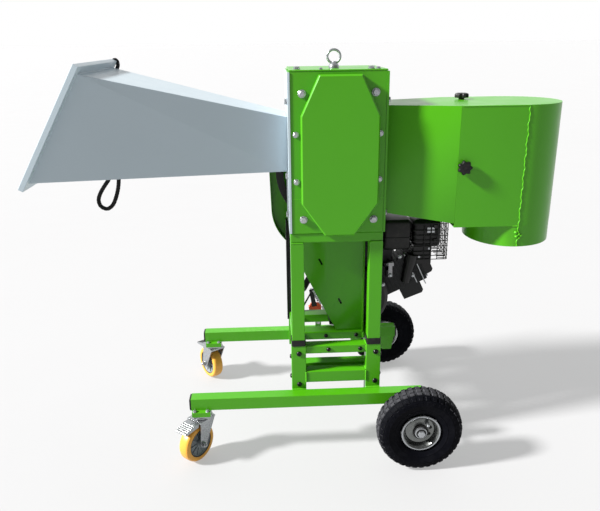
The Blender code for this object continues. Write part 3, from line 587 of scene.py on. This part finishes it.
def make_frame():
    """Square tube frame with rounded edges, plus its plugs, inserts, welds and screws; the posts' black paint
    and the black strip beside the left post are painted shade.
    """
    for node in TUBES:
        # The two posts get black paint: painted shade on what are green tubes standing in deep shade.
        tube = skin(node, "black_paint" if "post" in node else "green_paint", 3.4, segments=3)
        tint(tube, "zinc", lambda p: abs(p.y) > STUB_Y and p.z < PAD_Z)
    skin("shield_plate", "green_paint", 0.9)

    caps, bands, screws, welds = (bmesh.new() for _ in range(4))
    for middle in (-BEAM_Y, BEAM_Y):
        plug(caps, (BEAM_X[0] + 0.5, middle, 190), (-1, 0, 0))
        plug(caps, (BEAM_X[1] - 0.5, middle, 190), (1, 0, 0))
    for left in LEG_X:
        right = left + TUBE
        low = (left - 2.4, LEG_FRONT - 1.6, SOCKET_TOP - 1)
        collar(bands, low, (right + 2.4, -179.4, SOCKET_TOP + 20), 2.2)
        welds_of_leg(welds, left, right)
        plug(caps, (left + 20, 221.6, RAIL_MIDDLE_Z), (0, 1, 0), 13.6)
    for x in LEG_X[0] + TUBE + 3, LEG_X[1] - 3:
        # the lower bar's ends, then the front cross rail's
        bead(welds, (x, LEG_FRONT, 236), (x, LEG_FRONT, 272))
        bead(welds, (x, LEG_FRONT + 4, 274.5), (x, LEG_INNER, 274.5))
        bead(welds, (x, -217, 336), (x, -217, 360))
        bead(welds, (x, -214, RAIL_TOP), (x, LEG_INNER, RAIL_TOP))
    for y in (-118, -68, 20, 70):  # both sides of the other cross rails
        for x in (LEG_X[0] + TUBE, LEG_X[1]):
            bead(welds, (x, y, 337), (x, y, 360))
    piece("tube_plugs", caps, "black_plastic", "chipper", bevel=0.8)
    piece("leg_inserts", bands, "black_plastic", "chipper", bevel=0.7)
    piece("frame_welds", welds, "weld", "chipper", limit=70)

    for x, heights in ((-11, (338, 229)), (233, (337, 233))):
        for z in heights:
            button(screws, (x, LEG_FRONT, z), (0, -1, 0))
    for x in (83, 184):
        for y in (-217, -118):
            button(screws, (x, y, RAIL_MIDDLE_Z), (0, -1, 0), 7.0)
    for sign, left in ((-1, LEG_X[0]), (1, LEG_X[1] + TUBE)):
        for z in (250, 320):
            button(screws, (left + sign * 3, -201, z), (sign, 0, 0), 7.5)
    piece("frame_screws", screws, "black_paint", "chipper", limit=40)

    # A black strip on the left post's outer face: painted shade, standing for the post's deep shade.
    work = bmesh.new()
    outline = rounded((52, 332), (88, 702), 9)
    rings = [[work.verts.new((x, y, z)) for y, z in outline] for x in (LEG_X[0] - 7.6, LEG_X[0] - 0.4)]
    join_rings(work, rings)
    piece("left_post_shade_strip", work, "black_paint", "chipper", bevel=0.8)


def welds_of_leg(welds, left, right):
    """Beads at the foot and head of a leg, its post and its rear stub."""
    foot = (LEG_FRONT - 0.5, BEAM_Z[1] + 0.8)
    bead(welds, (left - 3, *foot), (right + 3, *foot), 3.0)
    bead(welds, (left + 2, LEG_FRONT + 0.6, LEG_HEAD), (right - 2, LEG_FRONT + 0.6, LEG_HEAD), 1.8)
    for y in (50, 90):
        bead(welds, (left + 2, y, LEG_HEAD), (right - 2, y, LEG_HEAD), 1.8)
        bead(welds, (left + 2, y, 362.2), (right - 2, y, 362.2), 2.2)
    bead(welds, (left, 222.4, BEAM_Z[1] + 0.6), (right, 222.4, BEAM_Z[1] + 0.6), 2.6)
    bead(welds, (left + 2, 182.2, 333.8), (right - 2, 182.2, 333.8), 2.2)
    for x in (left, right):
        bead(welds, (x, 184, 333.8), (x, 220, 333.8), 2.2)
        bead(welds, (x, -178.8, 237), (x, -178.8, 272), 2.2)


# ---- cutting unit


def make_unit():
    """Housing with its cover, flanges, bolts, bearings and lifting eye."""
    skin("housing_shell", "green_paint", 1.6)
    skin("top_plate", "green_paint", 1.4)
    skin("gear_cover", "green_paint", 2.4, 20.0, 3)
    flange = skin("feed_flange", "green_paint", 1.2)
    tint(flange, "grey_paint", lambda p: p.x < -33 or p.y < -222.5)
    for name in ("upper", "lower"):
        skin(f"{name}_rotor", "steel", 0.7)
        skin(f"{name}_gear", "steel", 0.6)

    bolts, cases, welds = (bmesh.new() for _ in range(3))
    cover_bolts = ((6.8, 1139, 17), (8, 778, 17), (215, 775, 17), (213.2, 1140.8, 17))
    cover_bolts += ((-11.7, 1026.6, 13), (-11, 891, 13), (229, 1027, 13), (229, 895, 13))
    for x, z, across in cover_bolts:
        bolt(bolts, (x, COVER_FRONT, z), (0, -1, 0), across)
    for x, y, across in ((-5.5, -183, 15), (201.5, -205, 15), (220, -211, 10), (60, -213, 8)):
        bolt(bolts, (x, y, TOP_PLATE_Z), (0, 0, 1), across)
    for z in (790, 905, 1117):
        bolt(bolts, (FLANGE_FEED_X + 0.3, -199, z), (-1, 0, 0), 15.0)
    for z in (790, 1118):
        bolt(bolts, (FLANGE_DUCT_X, -199, z), (1, 0, 0), 15.0)
    for z in SHAFT_Z.values():
        bearing(cases, bolts, z)
    piece("unit_bolts", bolts, "zinc", "chipper", limit=28)
    piece("bearing_cases", cases, "aluminium", "chipper", bevel=0.8)

    bead(welds, (HOUSING_X[0], COVER_FRONT + 0.6, 840), (2, COVER_FRONT + 0.6, 840), 1.2, 5.0)
    bead(welds, (225, COVER_FRONT + 0.6, 840), (HOUSING_X[1], COVER_FRONT + 0.6, 840), 1.2, 5.0)
    for x in HOUSING_X:
        bead(welds, (x, -205, 735.6), (x, 24, 735.6), 2.4)
    bead(welds, (HOUSING_X[0], 28, 735.6), (HOUSING_X[1], 28, 735.6), 2.4)
    piece("unit_welds", welds, "weld", "chipper", limit=70)

    eye = bmesh.new()
    base = [(0, 0), (15, 0), (15, 7), (14, 8.5), (11, 12.5), (7, 15.5), (5.6, 18.5), (0, 19)]
    lathe(eye, base, Matrix.Translation((103, -140, 1203.1)), 36)
    ring = [(103 + u, -140, 1235.1 + v) for u, v in circle(0, 0, 18.5, 48)]
    sweep(eye, ring, 3.58, 16, closed=True)
    piece("lifting_eye_bolt", eye, "zinc", "chipper", ["lifting_eye"], limit=40)


def bearing(cases, bolts, z):
    """A four-bolt flange bearing on the back plate, round one shaft."""
    place = Matrix.Translation((SHAFT_X, -13.7, z)) @ ALONG_Y
    profile = [(16, 0), (40, 0), (42, 2), (42, 9), (39, 12), (33, 13.5)]
    profile += [(31, 22), (28, 25), (19, 25), (18, 22), (16, 22)]
    lathe(cases, profile, place, 48, closed=True)
    for u, v in circle(0, 0, 47, 4, math.pi / 4):
        ear = place @ Matrix.Translation((u, v, 0))
        lathe(cases, [(0, 0), (13, 0), (13, 9), (11, 11), (0, 11)], ear, 24)
        bolt(bolts, (SHAFT_X + u, -2.7, z + v), (0, 1, 0), 13.0)


def make_discharge():
    """Duct, hood with its seams, and the two clamping knobs."""
    skin("discharge_duct", "green_paint", 1.3)
    skin("deflector", "green_paint", 0.9)
    welds = bmesh.new()
    cx, cy = HOOD_CENTRE
    for sign in (-1, 1):
        y = cy + sign * HOOD_HALF
        heights = [OUTLET[2] + 1.0 + 2.0 * i for i in range(208)]
        seam = [(cx + 1.3 * math.sin(z / 8.0) + 0.9 * math.sin(z / 3.1), y, z) for z in heights]
        sweep(welds, seam, [1.9 + 0.4 * math.sin(z / 2.3) for z in heights], 8)
        bead(welds, (HOOD_LEFT, y, HOOD_Z[1] - 1), (cx, y, HOOD_Z[1] - 1), 1.3, 7.0)
        for dx, z in ((-7, 726), (3, 720), (9, 716), (-4, 713), (4, 708)):
            blob = [(0, -4), (4.2, -2.4), (5.2, 0), (4.2, 2.8), (0, 4.2)]
            lathe(welds, blob, Matrix.Translation((cx + dx, y, z)), 12)
    around = [math.pi / 2 + math.pi * i / 120 for i in range(121)]
    reach, half, _ = OUTLET
    under = [(cx + reach * math.cos(a), cy + half * math.sin(a), HOOD_Z[0] - 0.5) for a in around]
    sweep(welds, under, [2.2 * (0.8 + 0.3 * abs(math.sin(1.05 * i))) for i in range(len(under))], 8)
    arc = [(u, v, HOOD_Z[1] - 1.2) for u, v in circle(cx, cy, HOOD_HALF - 1.7, 90, -math.pi / 2, math.pi)]
    sweep(welds, arc, [1.1 + 0.5 * abs(math.sin(1.1 * i)) for i in range(len(arc))], 8)
    piece("hood_welds", welds, "weld", "hood", limit=70)
    make_knob("knob_top", (510, -35, 1100), (0, 0, 1))
    make_knob("knob_front", (472, -234, 927), (0, -1, 0))


def make_knob(name, at, axis):
    """A seven-lobed grip on its collar, with a small cap."""
    lobes = 7
    work = bmesh.new()
    place = aimed(at, axis)
    angles = [math.tau * i / (lobes * 8) for i in range(lobes * 8)]
    rings = []
    for height, grow in ((5.0, 0.90), (6.5, 0.98), (10, 1.0), (15.5, 0.98), (18.2, 0.88), (19.0, 0.70)):
        reach = [grow * (19.5 + 2.5 * math.cos(lobes * a)) for a in angles]
        spots = [Vector((k * math.cos(a), k * math.sin(a), height)) for k, a in zip(reach, angles)]
        rings.append([work.verts.new(place @ spot) for spot in spots])
    join_rings(work, rings)
    lathe(work, [(0, 0.3), (9, 0.3), (9, 6), (0, 6)], place, 28)
    lathe(work, [(0, 18.5), (7, 18.5), (7, 19.0), (6, 19.0), (5.5, 18.8), (0, 18.8)], place, 24)
    piece(f"{name}_head", work, "black_plastic", name, [name], limit=34)


# ---- drive


def groove_profile(radius, y_end):
    """The outside of a two-groove pulley, as (radius, y) from one rim face to the other."""
    floor = radius - GROOVE_DEPTH
    profile = [(radius - 1, 100), (radius, 101)]
    for middle in BELT_Y:
        profile += [(radius, middle - 6.5), (floor, middle - 4.2)]
        profile += [(floor, middle + 4.2), (radius, middle + 6.5)]
    return profile + [(radius, 139), (radius - 1, y_end)]


def belt_line(big, small):
    """Points round both pulleys at the given radii, as design x and z."""
    away = Vector((CRANK[0] - SHAFT_X, CRANK[1] - SHAFT_Z["lower"]))
    start = math.atan2(away.y, away.x)
    open_angle = math.acos((big - small) / away.length)
    round_big = circle(SHAFT_X, SHAFT_Z["lower"], big, 120, start + open_angle, math.tau - 2 * open_angle)
    return round_big + circle(*CRANK, small, 40, start - open_angle, 2 * open_angle)


def make_drive():
    """Grooved pulleys, two V-belts, the belt guard and the idler."""
    work = bmesh.new()
    place = Matrix.Translation((SHAFT_X, 0, SHAFT_Z["lower"])) @ ALONG_Y
    profile = [(15.3, 102), (33, 102), (34, 103), (34, 115), (150, 115), (154, 111), (155, 100)]
    profile += groove_profile(DRIVEN_R, 140)
    profile += [(155, 140), (154, 129), (150, 125), (34, 125), (34, 137), (33, 138), (15.3, 138)]
    lathe(work, profile, place, 120, closed=True)
    driven = piece("driven_pulley_wheel", work, "green_paint", "lower_rotor", ["driven_pulley"], limit=24)
    tint(driven, "black_paint", lambda p: math.hypot(p.x - SHAFT_X, p.z - SHAFT_Z["lower"]) > 158)

    work = bmesh.new()
    place = Matrix.Translation((CRANK[0], 0, CRANK[1])) @ ALONG_Y
    profile = [(0, 46.5), (12.5, 46.5), (12.5, 96), (20, 97), (20, 100)]
    profile += groove_profile(ENGINE_PULLEY_R, 140) + [(12, 140), (12, 144), (8, 144), (0, 143)]
    lathe(work, profile, place, 64)
    piece("engine_pulley_wheel", work, "steel", "crank", ["engine_pulley"], limit=24)

    for index, middle in enumerate(BELT_Y):
        work = bmesh.new()
        outer = belt_line(DRIVEN_R - 1.8, ENGINE_PULLEY_R - 1.8)
        inner = belt_line(DRIVEN_R - 12.5, ENGINE_PULLEY_R - 12.5)
        rings = []
        for line, half in ((outer, -5.9), (outer, 5.9), (inner, 3.9), (inner, -3.9)):
            rings.append([work.verts.new((x, middle + half, z)) for x, z in line])
        join_rings(work, rings, closed=True)
        piece(f"v_belt_{index + 1}", work, "rubber", "chipper", ["drive_belt"] if index == 0 else (), 0.6)

    skin("belt_guard", "green_paint", 1.4)
    skin("idler_arm", "black_paint", 0.8)
    work = bmesh.new()
    bolt(work, (18, 90.6, 432), (0, -1, 0), 15.0)
    lathe(work, [(0, 0), (9, 0), (9, 45), (0, 45)], Matrix.Translation((18, 98.4, 432)) @ ALONG_Y, 24)
    for x, z in ((188, 400), (-66, 700), (112, 1040), (300, 854)):  # on the guard's face
        bolt(work, (x, 173.4, z), (0, 1, 0), 13.0)
    piece("drive_bolts", work, "zinc", "chipper", limit=28)


def coil(work, top, foot, turns=8, radius=6.2):
    """A tension spring in the xz plane on a rod between two points, with its two nuts."""
    sweep(work, [top, foot], 2.6, 12)
    side = Vector((0, 1, 0))
    up = (foot - top).normalized().cross(side)
    helix = []
    for i in range(turns * 12 + 1):
        angle = math.tau * i / 12
        along = top.lerp(foot, 0.12 + 0.62 * i / (turns * 12))
        helix.append(along + (side * math.cos(angle) + up * math.sin(angle)) * radius)
    sweep(work, helix, 1.3, 8)
    for spot in (0.06, 0.80):
        hexagon(work, aimed(top.lerp(foot, spot), foot - top), 15.0, 0, 6)


def make_tensioner():
    """Hand lever with its grip, link and spring, and the fixed rod and strap beside it."""
    lever = skin("tension_lever", "black_paint", 1.0)
    tint(lever, "orange_plastic", lambda p: 254 < p.z < 318 and 46 < p.x < 100)
    work = bmesh.new()
    grip = rounded((52, 260), (96, 313), 10)
    join_rings(work, [[work.verts.new((x, y, z)) for x, z in grip] for y in (237.5, 254.0)])
    piece("lever_grip", work, "orange_plastic", "tension_lever", bevel=3.0, segments=3)

    work = bmesh.new()
    link = Matrix.Translation((80, 232, 345)) @ Matrix.Rotation(math.radians(-28), 4, "Y")
    block(work, (-6, 0, -36), (6, 3, 36), link)
    for height in (-27, 0, 27):
        bolt(work, link @ Vector((0, 0, height)), (0, -1, 0), 11.0)
    piece("lever_link", work, "zinc", "tension_lever", bevel=0.5, limit=28)

    work = bmesh.new()
    coil(work, Vector((60, 248, 368)), Vector((90, 248, 316)))
    lathe(work, [(0, -4), (7, -4), (7, 6), (0, 6)], aimed((58, 244, 366), (0, 1, 0)), 24)
    piece("lever_spring", work, "zinc", "tension_lever", limit=40)

    work = bmesh.new()
    sweep(work, [(8.5, 214, 279), (14, 216, 290), (40, 226, 335), (64, 233, 376)], 3.2, 12)
    piece("tension_rod", work, "black_paint", "chipper", limit=50)

    work = bmesh.new()
    strap = Matrix.Translation((147, 224, 211)) @ Matrix.Rotation(math.radians(-27), 4, "Y")
    block(work, (-5, 0, 0), (5, 2.5, 108), strap)
    bolt(work, (83, 226, 240), (0, -1, 0), 13.0)
    bolt(work, (146, 224, 217), (0, -1, 0), 11.0)
    piece("tension_strap", work, "zinc", "chipper", bevel=0.4, limit=28)


# ---- engine


def make_engine():
    """The engine's castings, covers, tank, filter and muffler, with the small parts between them."""
    skin("engine_block", "aluminium", 1.2)
    head = skin("cylinder_head", "aluminium", 2.2)
    into = TILTED.inverted()
    tint(head, "black_paint", lambda p: (into @ p).x > 240)
    for node, look in ENGINE_SKINS.items():
        skin(node, *look)
    make_engine_plates()
    make_engine_fins()
    make_engine_dark_parts()
    make_recoil_cover()
    make_engine_bolts()
    make_cage()


def make_engine_plates():
    """The head gasket's edge and two bright plates on the muffler and the head."""
    work = bmesh.new()
    extrude(work, rounded((-60, -54), (60, 46), 9), 201.6, 204.6, TILTED @ ALONG_X)
    block(work, (419, -62.6, 679), (443, -60, 697))
    block(work, (226.2, -62, -70), (229.2, -40, 21), TILTED)
    piece("engine_plates", work, "zinc", "chipper", bevel=0.4)


def make_engine_fins():
    """Cooling fins on the cylinder and head, the carburettor, the oil plug and the four feet."""
    work = bmesh.new()
    for i in range(9):
        at = 84 + 13 * i
        block(work, (at, -56, -50), (at + 3, -49, 50), TILTED)
        block(work, (at, 41, -50), (at + 3, 47, 50), TILTED)
    for i in range(5):
        block(work, (208 + 7 * i, -57, -50), (210.5 + 7 * i, -51, 50), TILTED)
    block(work, (262, -34, 572), (312, 22, 624))
    lathe(work, [(0, 0), (15, 0), (15, 10), (12, 13), (0, 13)], aimed((258, -60, 404), (0, -1, 0)), 28)
    for x in (112, 264):
        for y in (-55, 39):
            lathe(work, [(0, 0), (9, 0), (8, 4), (0, 4)], Matrix.Translation((x, y, 374)), 20)
    piece("engine_fins", work, "aluminium", "chipper", bevel=0.5)


def make_engine_dark_parts():
    """Intake duct, brackets and seams in black paint."""
    work = bmesh.new()
    duct = [Vector((373, -56, 606)).lerp(Vector((354, -56, 508)), i / 6) for i in range(7)]
    sweep(work, duct, [21.0 - i for i in range(7)], 28)
    block(work, (376, -63, 572), (436, -58, 640))
    for x in (116, 214):
        block(work, (x, -70, 560), (x + 26, -62, 606))
        block(work, (x, 30, 520), (x + 26, 38, 606))
    block(work, (288, -69, 528), (312, -48, 556))
    block(work, (84, -84, 508), (104, -62, 534))
    for z in (648, 652):
        extrude(work, rounded((88, -102), (268, 46), 22), z - 1.2, z + 1.2)
    extrude(work, rounded((272, -68), (368, 54), 14), 664, 667)
    piece("engine_dark_parts", work, "black_paint", "chipper", bevel=1.6, limit=35)


def make_recoil_cover():
    """Radial louvres, a hub and a rim on the starter's end of the crank."""
    work = bmesh.new()
    hub = Matrix.Translation((CRANK[0], -99.4, CRANK[1])) @ Matrix.Rotation(math.pi / 2, 4, "X")
    for i in range(18):
        block(work, (40, -2, 0), (76, 2, 3.2), hub @ Matrix.Rotation(math.tau * i / 18, 4, "Z"))
    lathe(work, [(0, 0), (34, 0), (34, 2), (31, 5), (12, 6), (0, 6)], hub, 48)
    lathe(work, [(78, 0), (84, 0), (84, 2.4), (82, 3.4), (80, 3.4), (78, 2.4)], hub, 64, closed=True)
    piece("recoil_cover", work, "black_plastic", "chipper", bevel=0.5)


def make_engine_bolts():
    """Bolts on the muffler, intake, recoil cover and rocker cover."""
    work = bmesh.new()
    for x, y, z in ((333, -66, 599), (396, -63, 597), (428, -63, 625), (381, -56, 528), (296, -66, 574)):
        bolt(work, (x, y + 6, z), (0, -1, 0), 10.0)
    bolt(work, (300, -74.5, 540), (0, -1, 0), 9.0)
    for angle in (30, 150, 270):
        u, v = circle(*CRANK, 97, 12, math.radians(angle))[0]
        bolt(work, (u, -97, v), (0, -1, 0), 10.0)
    for across in (-48, 48):
        for y in (-44, 36):
            place = TILTED @ Vector((240, y, across))
            bolt(work, place, TILTED.to_3x3() @ Vector((1, 0, 0)), 10.0)
    piece("engine_bolts", work, "zinc", "chipper", limit=28)


def make_cage():
    """The open wire guard round the muffler, on four short tabs."""
    work = bmesh.new()
    lo, hi, wire = Vector((370, -66, 589)), Vector((489, 54, 711)), 1.5
    for z in (lo.z, 602, 616, 634, 652, 670, 688, hi.z):
        ring = [(u, v, z) for u, v in rounded((lo.x, lo.y), (hi.x, hi.y), 8, 4)]
        sweep(work, ring, wire, 6, closed=True)
    for x in (410, 432, 454, 476):
        for y in (lo.y, hi.y):
            sweep(work, [(x, y, lo.z), (x, y, hi.z)], wire, 6)
    for i in range(6):
        y = lo.y + 12 + 19.2 * i
        sweep(work, [(hi.x, y, lo.z), (hi.x, y, hi.z)], wire, 6)
        sweep(work, [(460, y, lo.z), (hi.x, y, lo.z)], wire, 6)
    for y in (lo.y, hi.y):
        for z in (652, 700):
            block(work, (440, min(y, 0.9 * y), z - 5), (452, max(y, 0.9 * y), z + 5))
    piece("muffler_cage", work, "black_paint", "chipper", limit=60)


# ---- wheels


def lug(work, place, first, last, low, high, rise):
    """A tapered tyre block over a span of angle and of profile, given as (radius, y) at its ends."""
    low, high = Vector(low), Vector(high)
    along = (high - low).normalized()
    out = Vector((-along.y, along.x))
    if out.x < 0:
        out = -out
    rings = []
    for depth, inset in ((-2.0, 0.0), (rise - 0.8, 0.5), (rise, 1.3)):
        turn = inset / 125.0
        near, far = low + along * inset, high - along * inset
        start, end = first + turn, last - turn
        ring = []
        for angle, spot in ((start, near), (end, near), (end, far), (start, far)):
            reach, y = spot + out * depth
            ring.append(work.verts.new(place @ Vector((reach * math.cos(angle), reach * math.sin(angle), y))))
        rings.append(ring)
    join_rings(work, rings)


def mirrored(half, skip=0):
    """A profile of (radius, y) points and its mirror image in reverse, without the last `skip` points."""
    return half + [(r, -y) for r, y in half[len(half) - 1 - skip :: -1]]


def make_wheels():
    """On each side a block-tread tyre on its pressed rim."""
    half = [(61.3, -25), (64, -28.5), (69, -31.5), (74, -35), (80, -37.2), (81.5, -38.6), (83, -38.0)]
    half += [(91, -40.6), (100, -41.9), (101.5, -42.5), (103, -42.0), (110, -41.2), (116, -39.2)]
    half += [(121, -36.0), (124.5, -31), (127, -24), (128.4, -12), (128.8, 0)]
    rows = [((128.7, -6.5), (128.7, 6.5), 0.62, 4.2), ((127.6, 11), (126.4, 22.5), 0.62, 4.4)]
    rows += [((124.6, 27.5), (117.2, 37.2), 0.62, 4.2), ((114.5, 39.2), (105.5, 41.4), 0.45, 1.2)]
    count = 36
    step = math.tau / count
    for side, sign in (("front", -1), ("rear", 1)):
        place = Matrix.Translation((WHEEL[0], sign * WHEEL_Y, WHEEL[1])) @ ALONG_Y
        work = bmesh.new()
        lathe(work, mirrored(half, 1), place, 96, closed=True)
        for low, high, cover, rise in rows:
            for mirror in (1, -1) if low[1] > 0 else (1,):
                for i in range(count):
                    start = i * step
                    ends = [(r, mirror * y) for r, y in (low, high)]
                    lug(work, place, start, start + cover * step, *ends, rise)
        piece(f"tyre_{side}_tread", work, "tyre", f"wheel_{side}", [f"tyre_{side}"], limit=28)
        make_rim(side, sign, place)


def make_rim(side, sign, place):
    """A pressed rim with a bright lip and a dish painted darker, a painted dark reflection, plus its sealing
    rings, black discs painting two holes' shade, its valve and axle nut.
    """
    work = bmesh.new()
    face = [(10.3, -34), (16.5, -34), (18, -33), (18.8, -24), (21, -15), (26, -12), (38, -11.4), (44, -13)]
    face += [(48, -19), (50.5, -28), (53.5, -31.5), (56, -33), (59, -33.6), (60.8, -32.4), (61, -30.5)]
    face += [(58, -28), (56.5, -24)]
    lathe(work, mirrored(face), place, 80, closed=True)
    rim = piece(f"rim_{side}_disc", work, "zinc", f"wheel_{side}", [f"rim_{side}"], limit=36)
    # The dish takes the darker copy of zinc: a painted dark reflection and shade, while the lip stays bright.
    tint(rim, "dull_zinc", lambda p: 19.5 < math.hypot(p.x - WHEEL[0], p.z - WHEEL[1]) < 57)

    def on_dish(degrees, facing):
        u, v = circle(0, 0, VALVE_R, 12, math.radians(degrees))[0]
        return place @ Matrix.Translation((u, v, 0)) @ TURNED[facing]

    bright, dark = bmesh.new(), bmesh.new()
    for end in (-1, 1):
        out = place @ TURNED[end]
        lathe(dark, [(18.6, 21), (24, 21), (24, 26), (18.6, 26)], out, 40, closed=True)
        lathe(dark, [(10.4, 33.2), (15.5, 33.2), (15.5, 34.4), (10.4, 34.4)], out, 32, closed=True)
        # Two black discs on each face of the dish: painted shade, standing for the dark insides of two holes.
        for angle in (-28, 12):
            lathe(dark, [(0, 10), (5.4, 10), (5.4, 12.6), (4.2, 13), (0, 13)], on_dish(angle, end), 20)
    stem = [(0, 10), (5.6, 10), (5.6, 18), (4.6, 20), (4.6, 32), (3.8, 33.4), (0, 33.6)]
    lathe(bright, stem, on_dish(50, sign), 20)
    piece(f"rim_{side}_valve", bright, "zinc", f"wheel_{side}", limit=36)
    piece(f"rim_{side}_seals_and_hole_shade", dark, "rubber", f"wheel_{side}", limit=36)

    work = bmesh.new()
    hexagon(work, aimed((WHEEL[0], sign * 379.0, WHEEL[1]), (0, sign, 0)), 21.0, 0, 6.6)
    piece(f"axle_nut_{side}", work, "zinc", "chipper", bevel=0.4)


def make_casters():
    """Braked swivel casters: fork, orange wheel with a grey core, ribbed pedal and mounting plate."""
    for side, sign in (("front", -1), ("rear", 1)):
        swivel = Matrix.Translation((CASTER_X, sign * BEAM_Y, 0)) @ Matrix.Rotation(CASTER_YAW[side], 4, "Z")
        skin(f"caster_fork_{side}", "zinc", 0.8)
        work = bmesh.new()
        ring = [(27.2, 141.2), (31, 141.2), (32, 143.5), (31, 147), (28.6, 149), (27.2, 149)]
        lathe(work, ring, swivel, 40, closed=True)
        for end in (-1, 1):
            at = swivel @ Vector((CASTER_TRAIL, end * 30, CASTER_R))
            bolt(work, at, swivel.to_3x3() @ Vector((0, end, 0)), 15.0, nut=end > 0)
        piece(f"caster_fork_{side}_fittings", work, "zinc", f"fork_{side}", limit=28)
        make_caster_wheel(side, swivel @ Matrix.Translation((CASTER_TRAIL, 0, CASTER_R)) @ ALONG_Y)

        skin(f"brake_pedal_{side}", "zinc", 0.8)
        work = bmesh.new()
        foot, tip = Vector((CASTER_TRAIL + 24, 0, 141)), Vector((CASTER_TRAIL + 66, 0, 129))
        for i in range(6):
            at = foot.lerp(tip, 0.10 + 0.16 * i)
            sweep(work, [swivel @ (at + Vector((0, y, -0.6))) for y in (-22, 22)], 2.0, 8)
        # The ribs take the darker, shaded copy of zinc: painted shade.
        piece(f"pedal_ribs_{side}", work, "dull_zinc", f"pedal_{side}", limit=60)
        make_pad(side, sign)


def make_caster_wheel(side, wheel):
    """A polyurethane tread on a ribbed core whose outer ring is dark."""
    work = bmesh.new()
    tread = [(46, -18.6), (47.5, -19.2), (55, -19.2), (59, -17.6), (61.4, -14.0), (62.3, -9.0), (CASTER_R, 0)]
    lathe(work, mirrored(tread, 1), wheel, 72, closed=True)
    piece(f"caster_tyre_{side}", work, "polyurethane", f"caster_{side}", [f"caster_wheel_{side}"], limit=40)

    work = bmesh.new()
    core = [(6.3, -22), (13, -22), (14.5, -20.5), (15.5, -13), (18, -11.4)]
    core += [(37, -11.4), (40, -13), (43, -17.4), (46.4, -18.4)]
    lathe(work, mirrored(core), wheel, 64, closed=True)
    for i in range(10):
        for low, high in ((-14.4, -10.8), (10.8, 14.4)):
            rib = wheel @ Matrix.Rotation(math.tau * i / 10, 4, "Z")
            block(work, (15, -1.5, low), (41, 1.5, high), rib)
    made = piece(f"caster_core_{side}", work, "caster_core", f"caster_{side}", limit=36)
    into = wheel.inverted()
    tint(made, "rubber", lambda p: (into @ p).xy.length > 42.5)


def make_pad(side, sign):
    """The caster's mounting plate under the pad, with its bolts and nuts."""
    middle = sign * BEAM_Y
    work = bmesh.new()
    rings = []
    under = PAD_Z - 2.8
    for height in (PAD_Z, under):
        outline = rounded((CASTER_X - 29, middle - 36), (CASTER_X + 29, middle + 36), 6, 6)
        rings.append([work.verts.new((u, v, height)) for u, v in outline])
        hole = circle(CASTER_X, middle, 28.4, 24, math.radians(7))
        rings.append([work.verts.new((u, v, height)) for u, v in hole])
    join_rings(work, [rings[0], rings[1], rings[3], rings[2]], closed=True)
    for x in (CASTER_X - 20, CASTER_X + 20):
        for y in (middle - 28.5, middle + 28.5):
            bolt(work, (x, y, 171), (0, 0, 1), 10.0)
            hexagon(work, aimed((x, y, under), (0, 0, -1)), 10.0, 0, 5.5)
    piece(f"caster_plate_{side}", work, "zinc", "chipper", limit=28)


# ---- build

make_camera()
make_rope()
make_stage()
make_hopper()
make_frame()
make_unit()
make_discharge()
make_drive()
make_tensioner()
make_engine()
make_wheels()
make_casters()
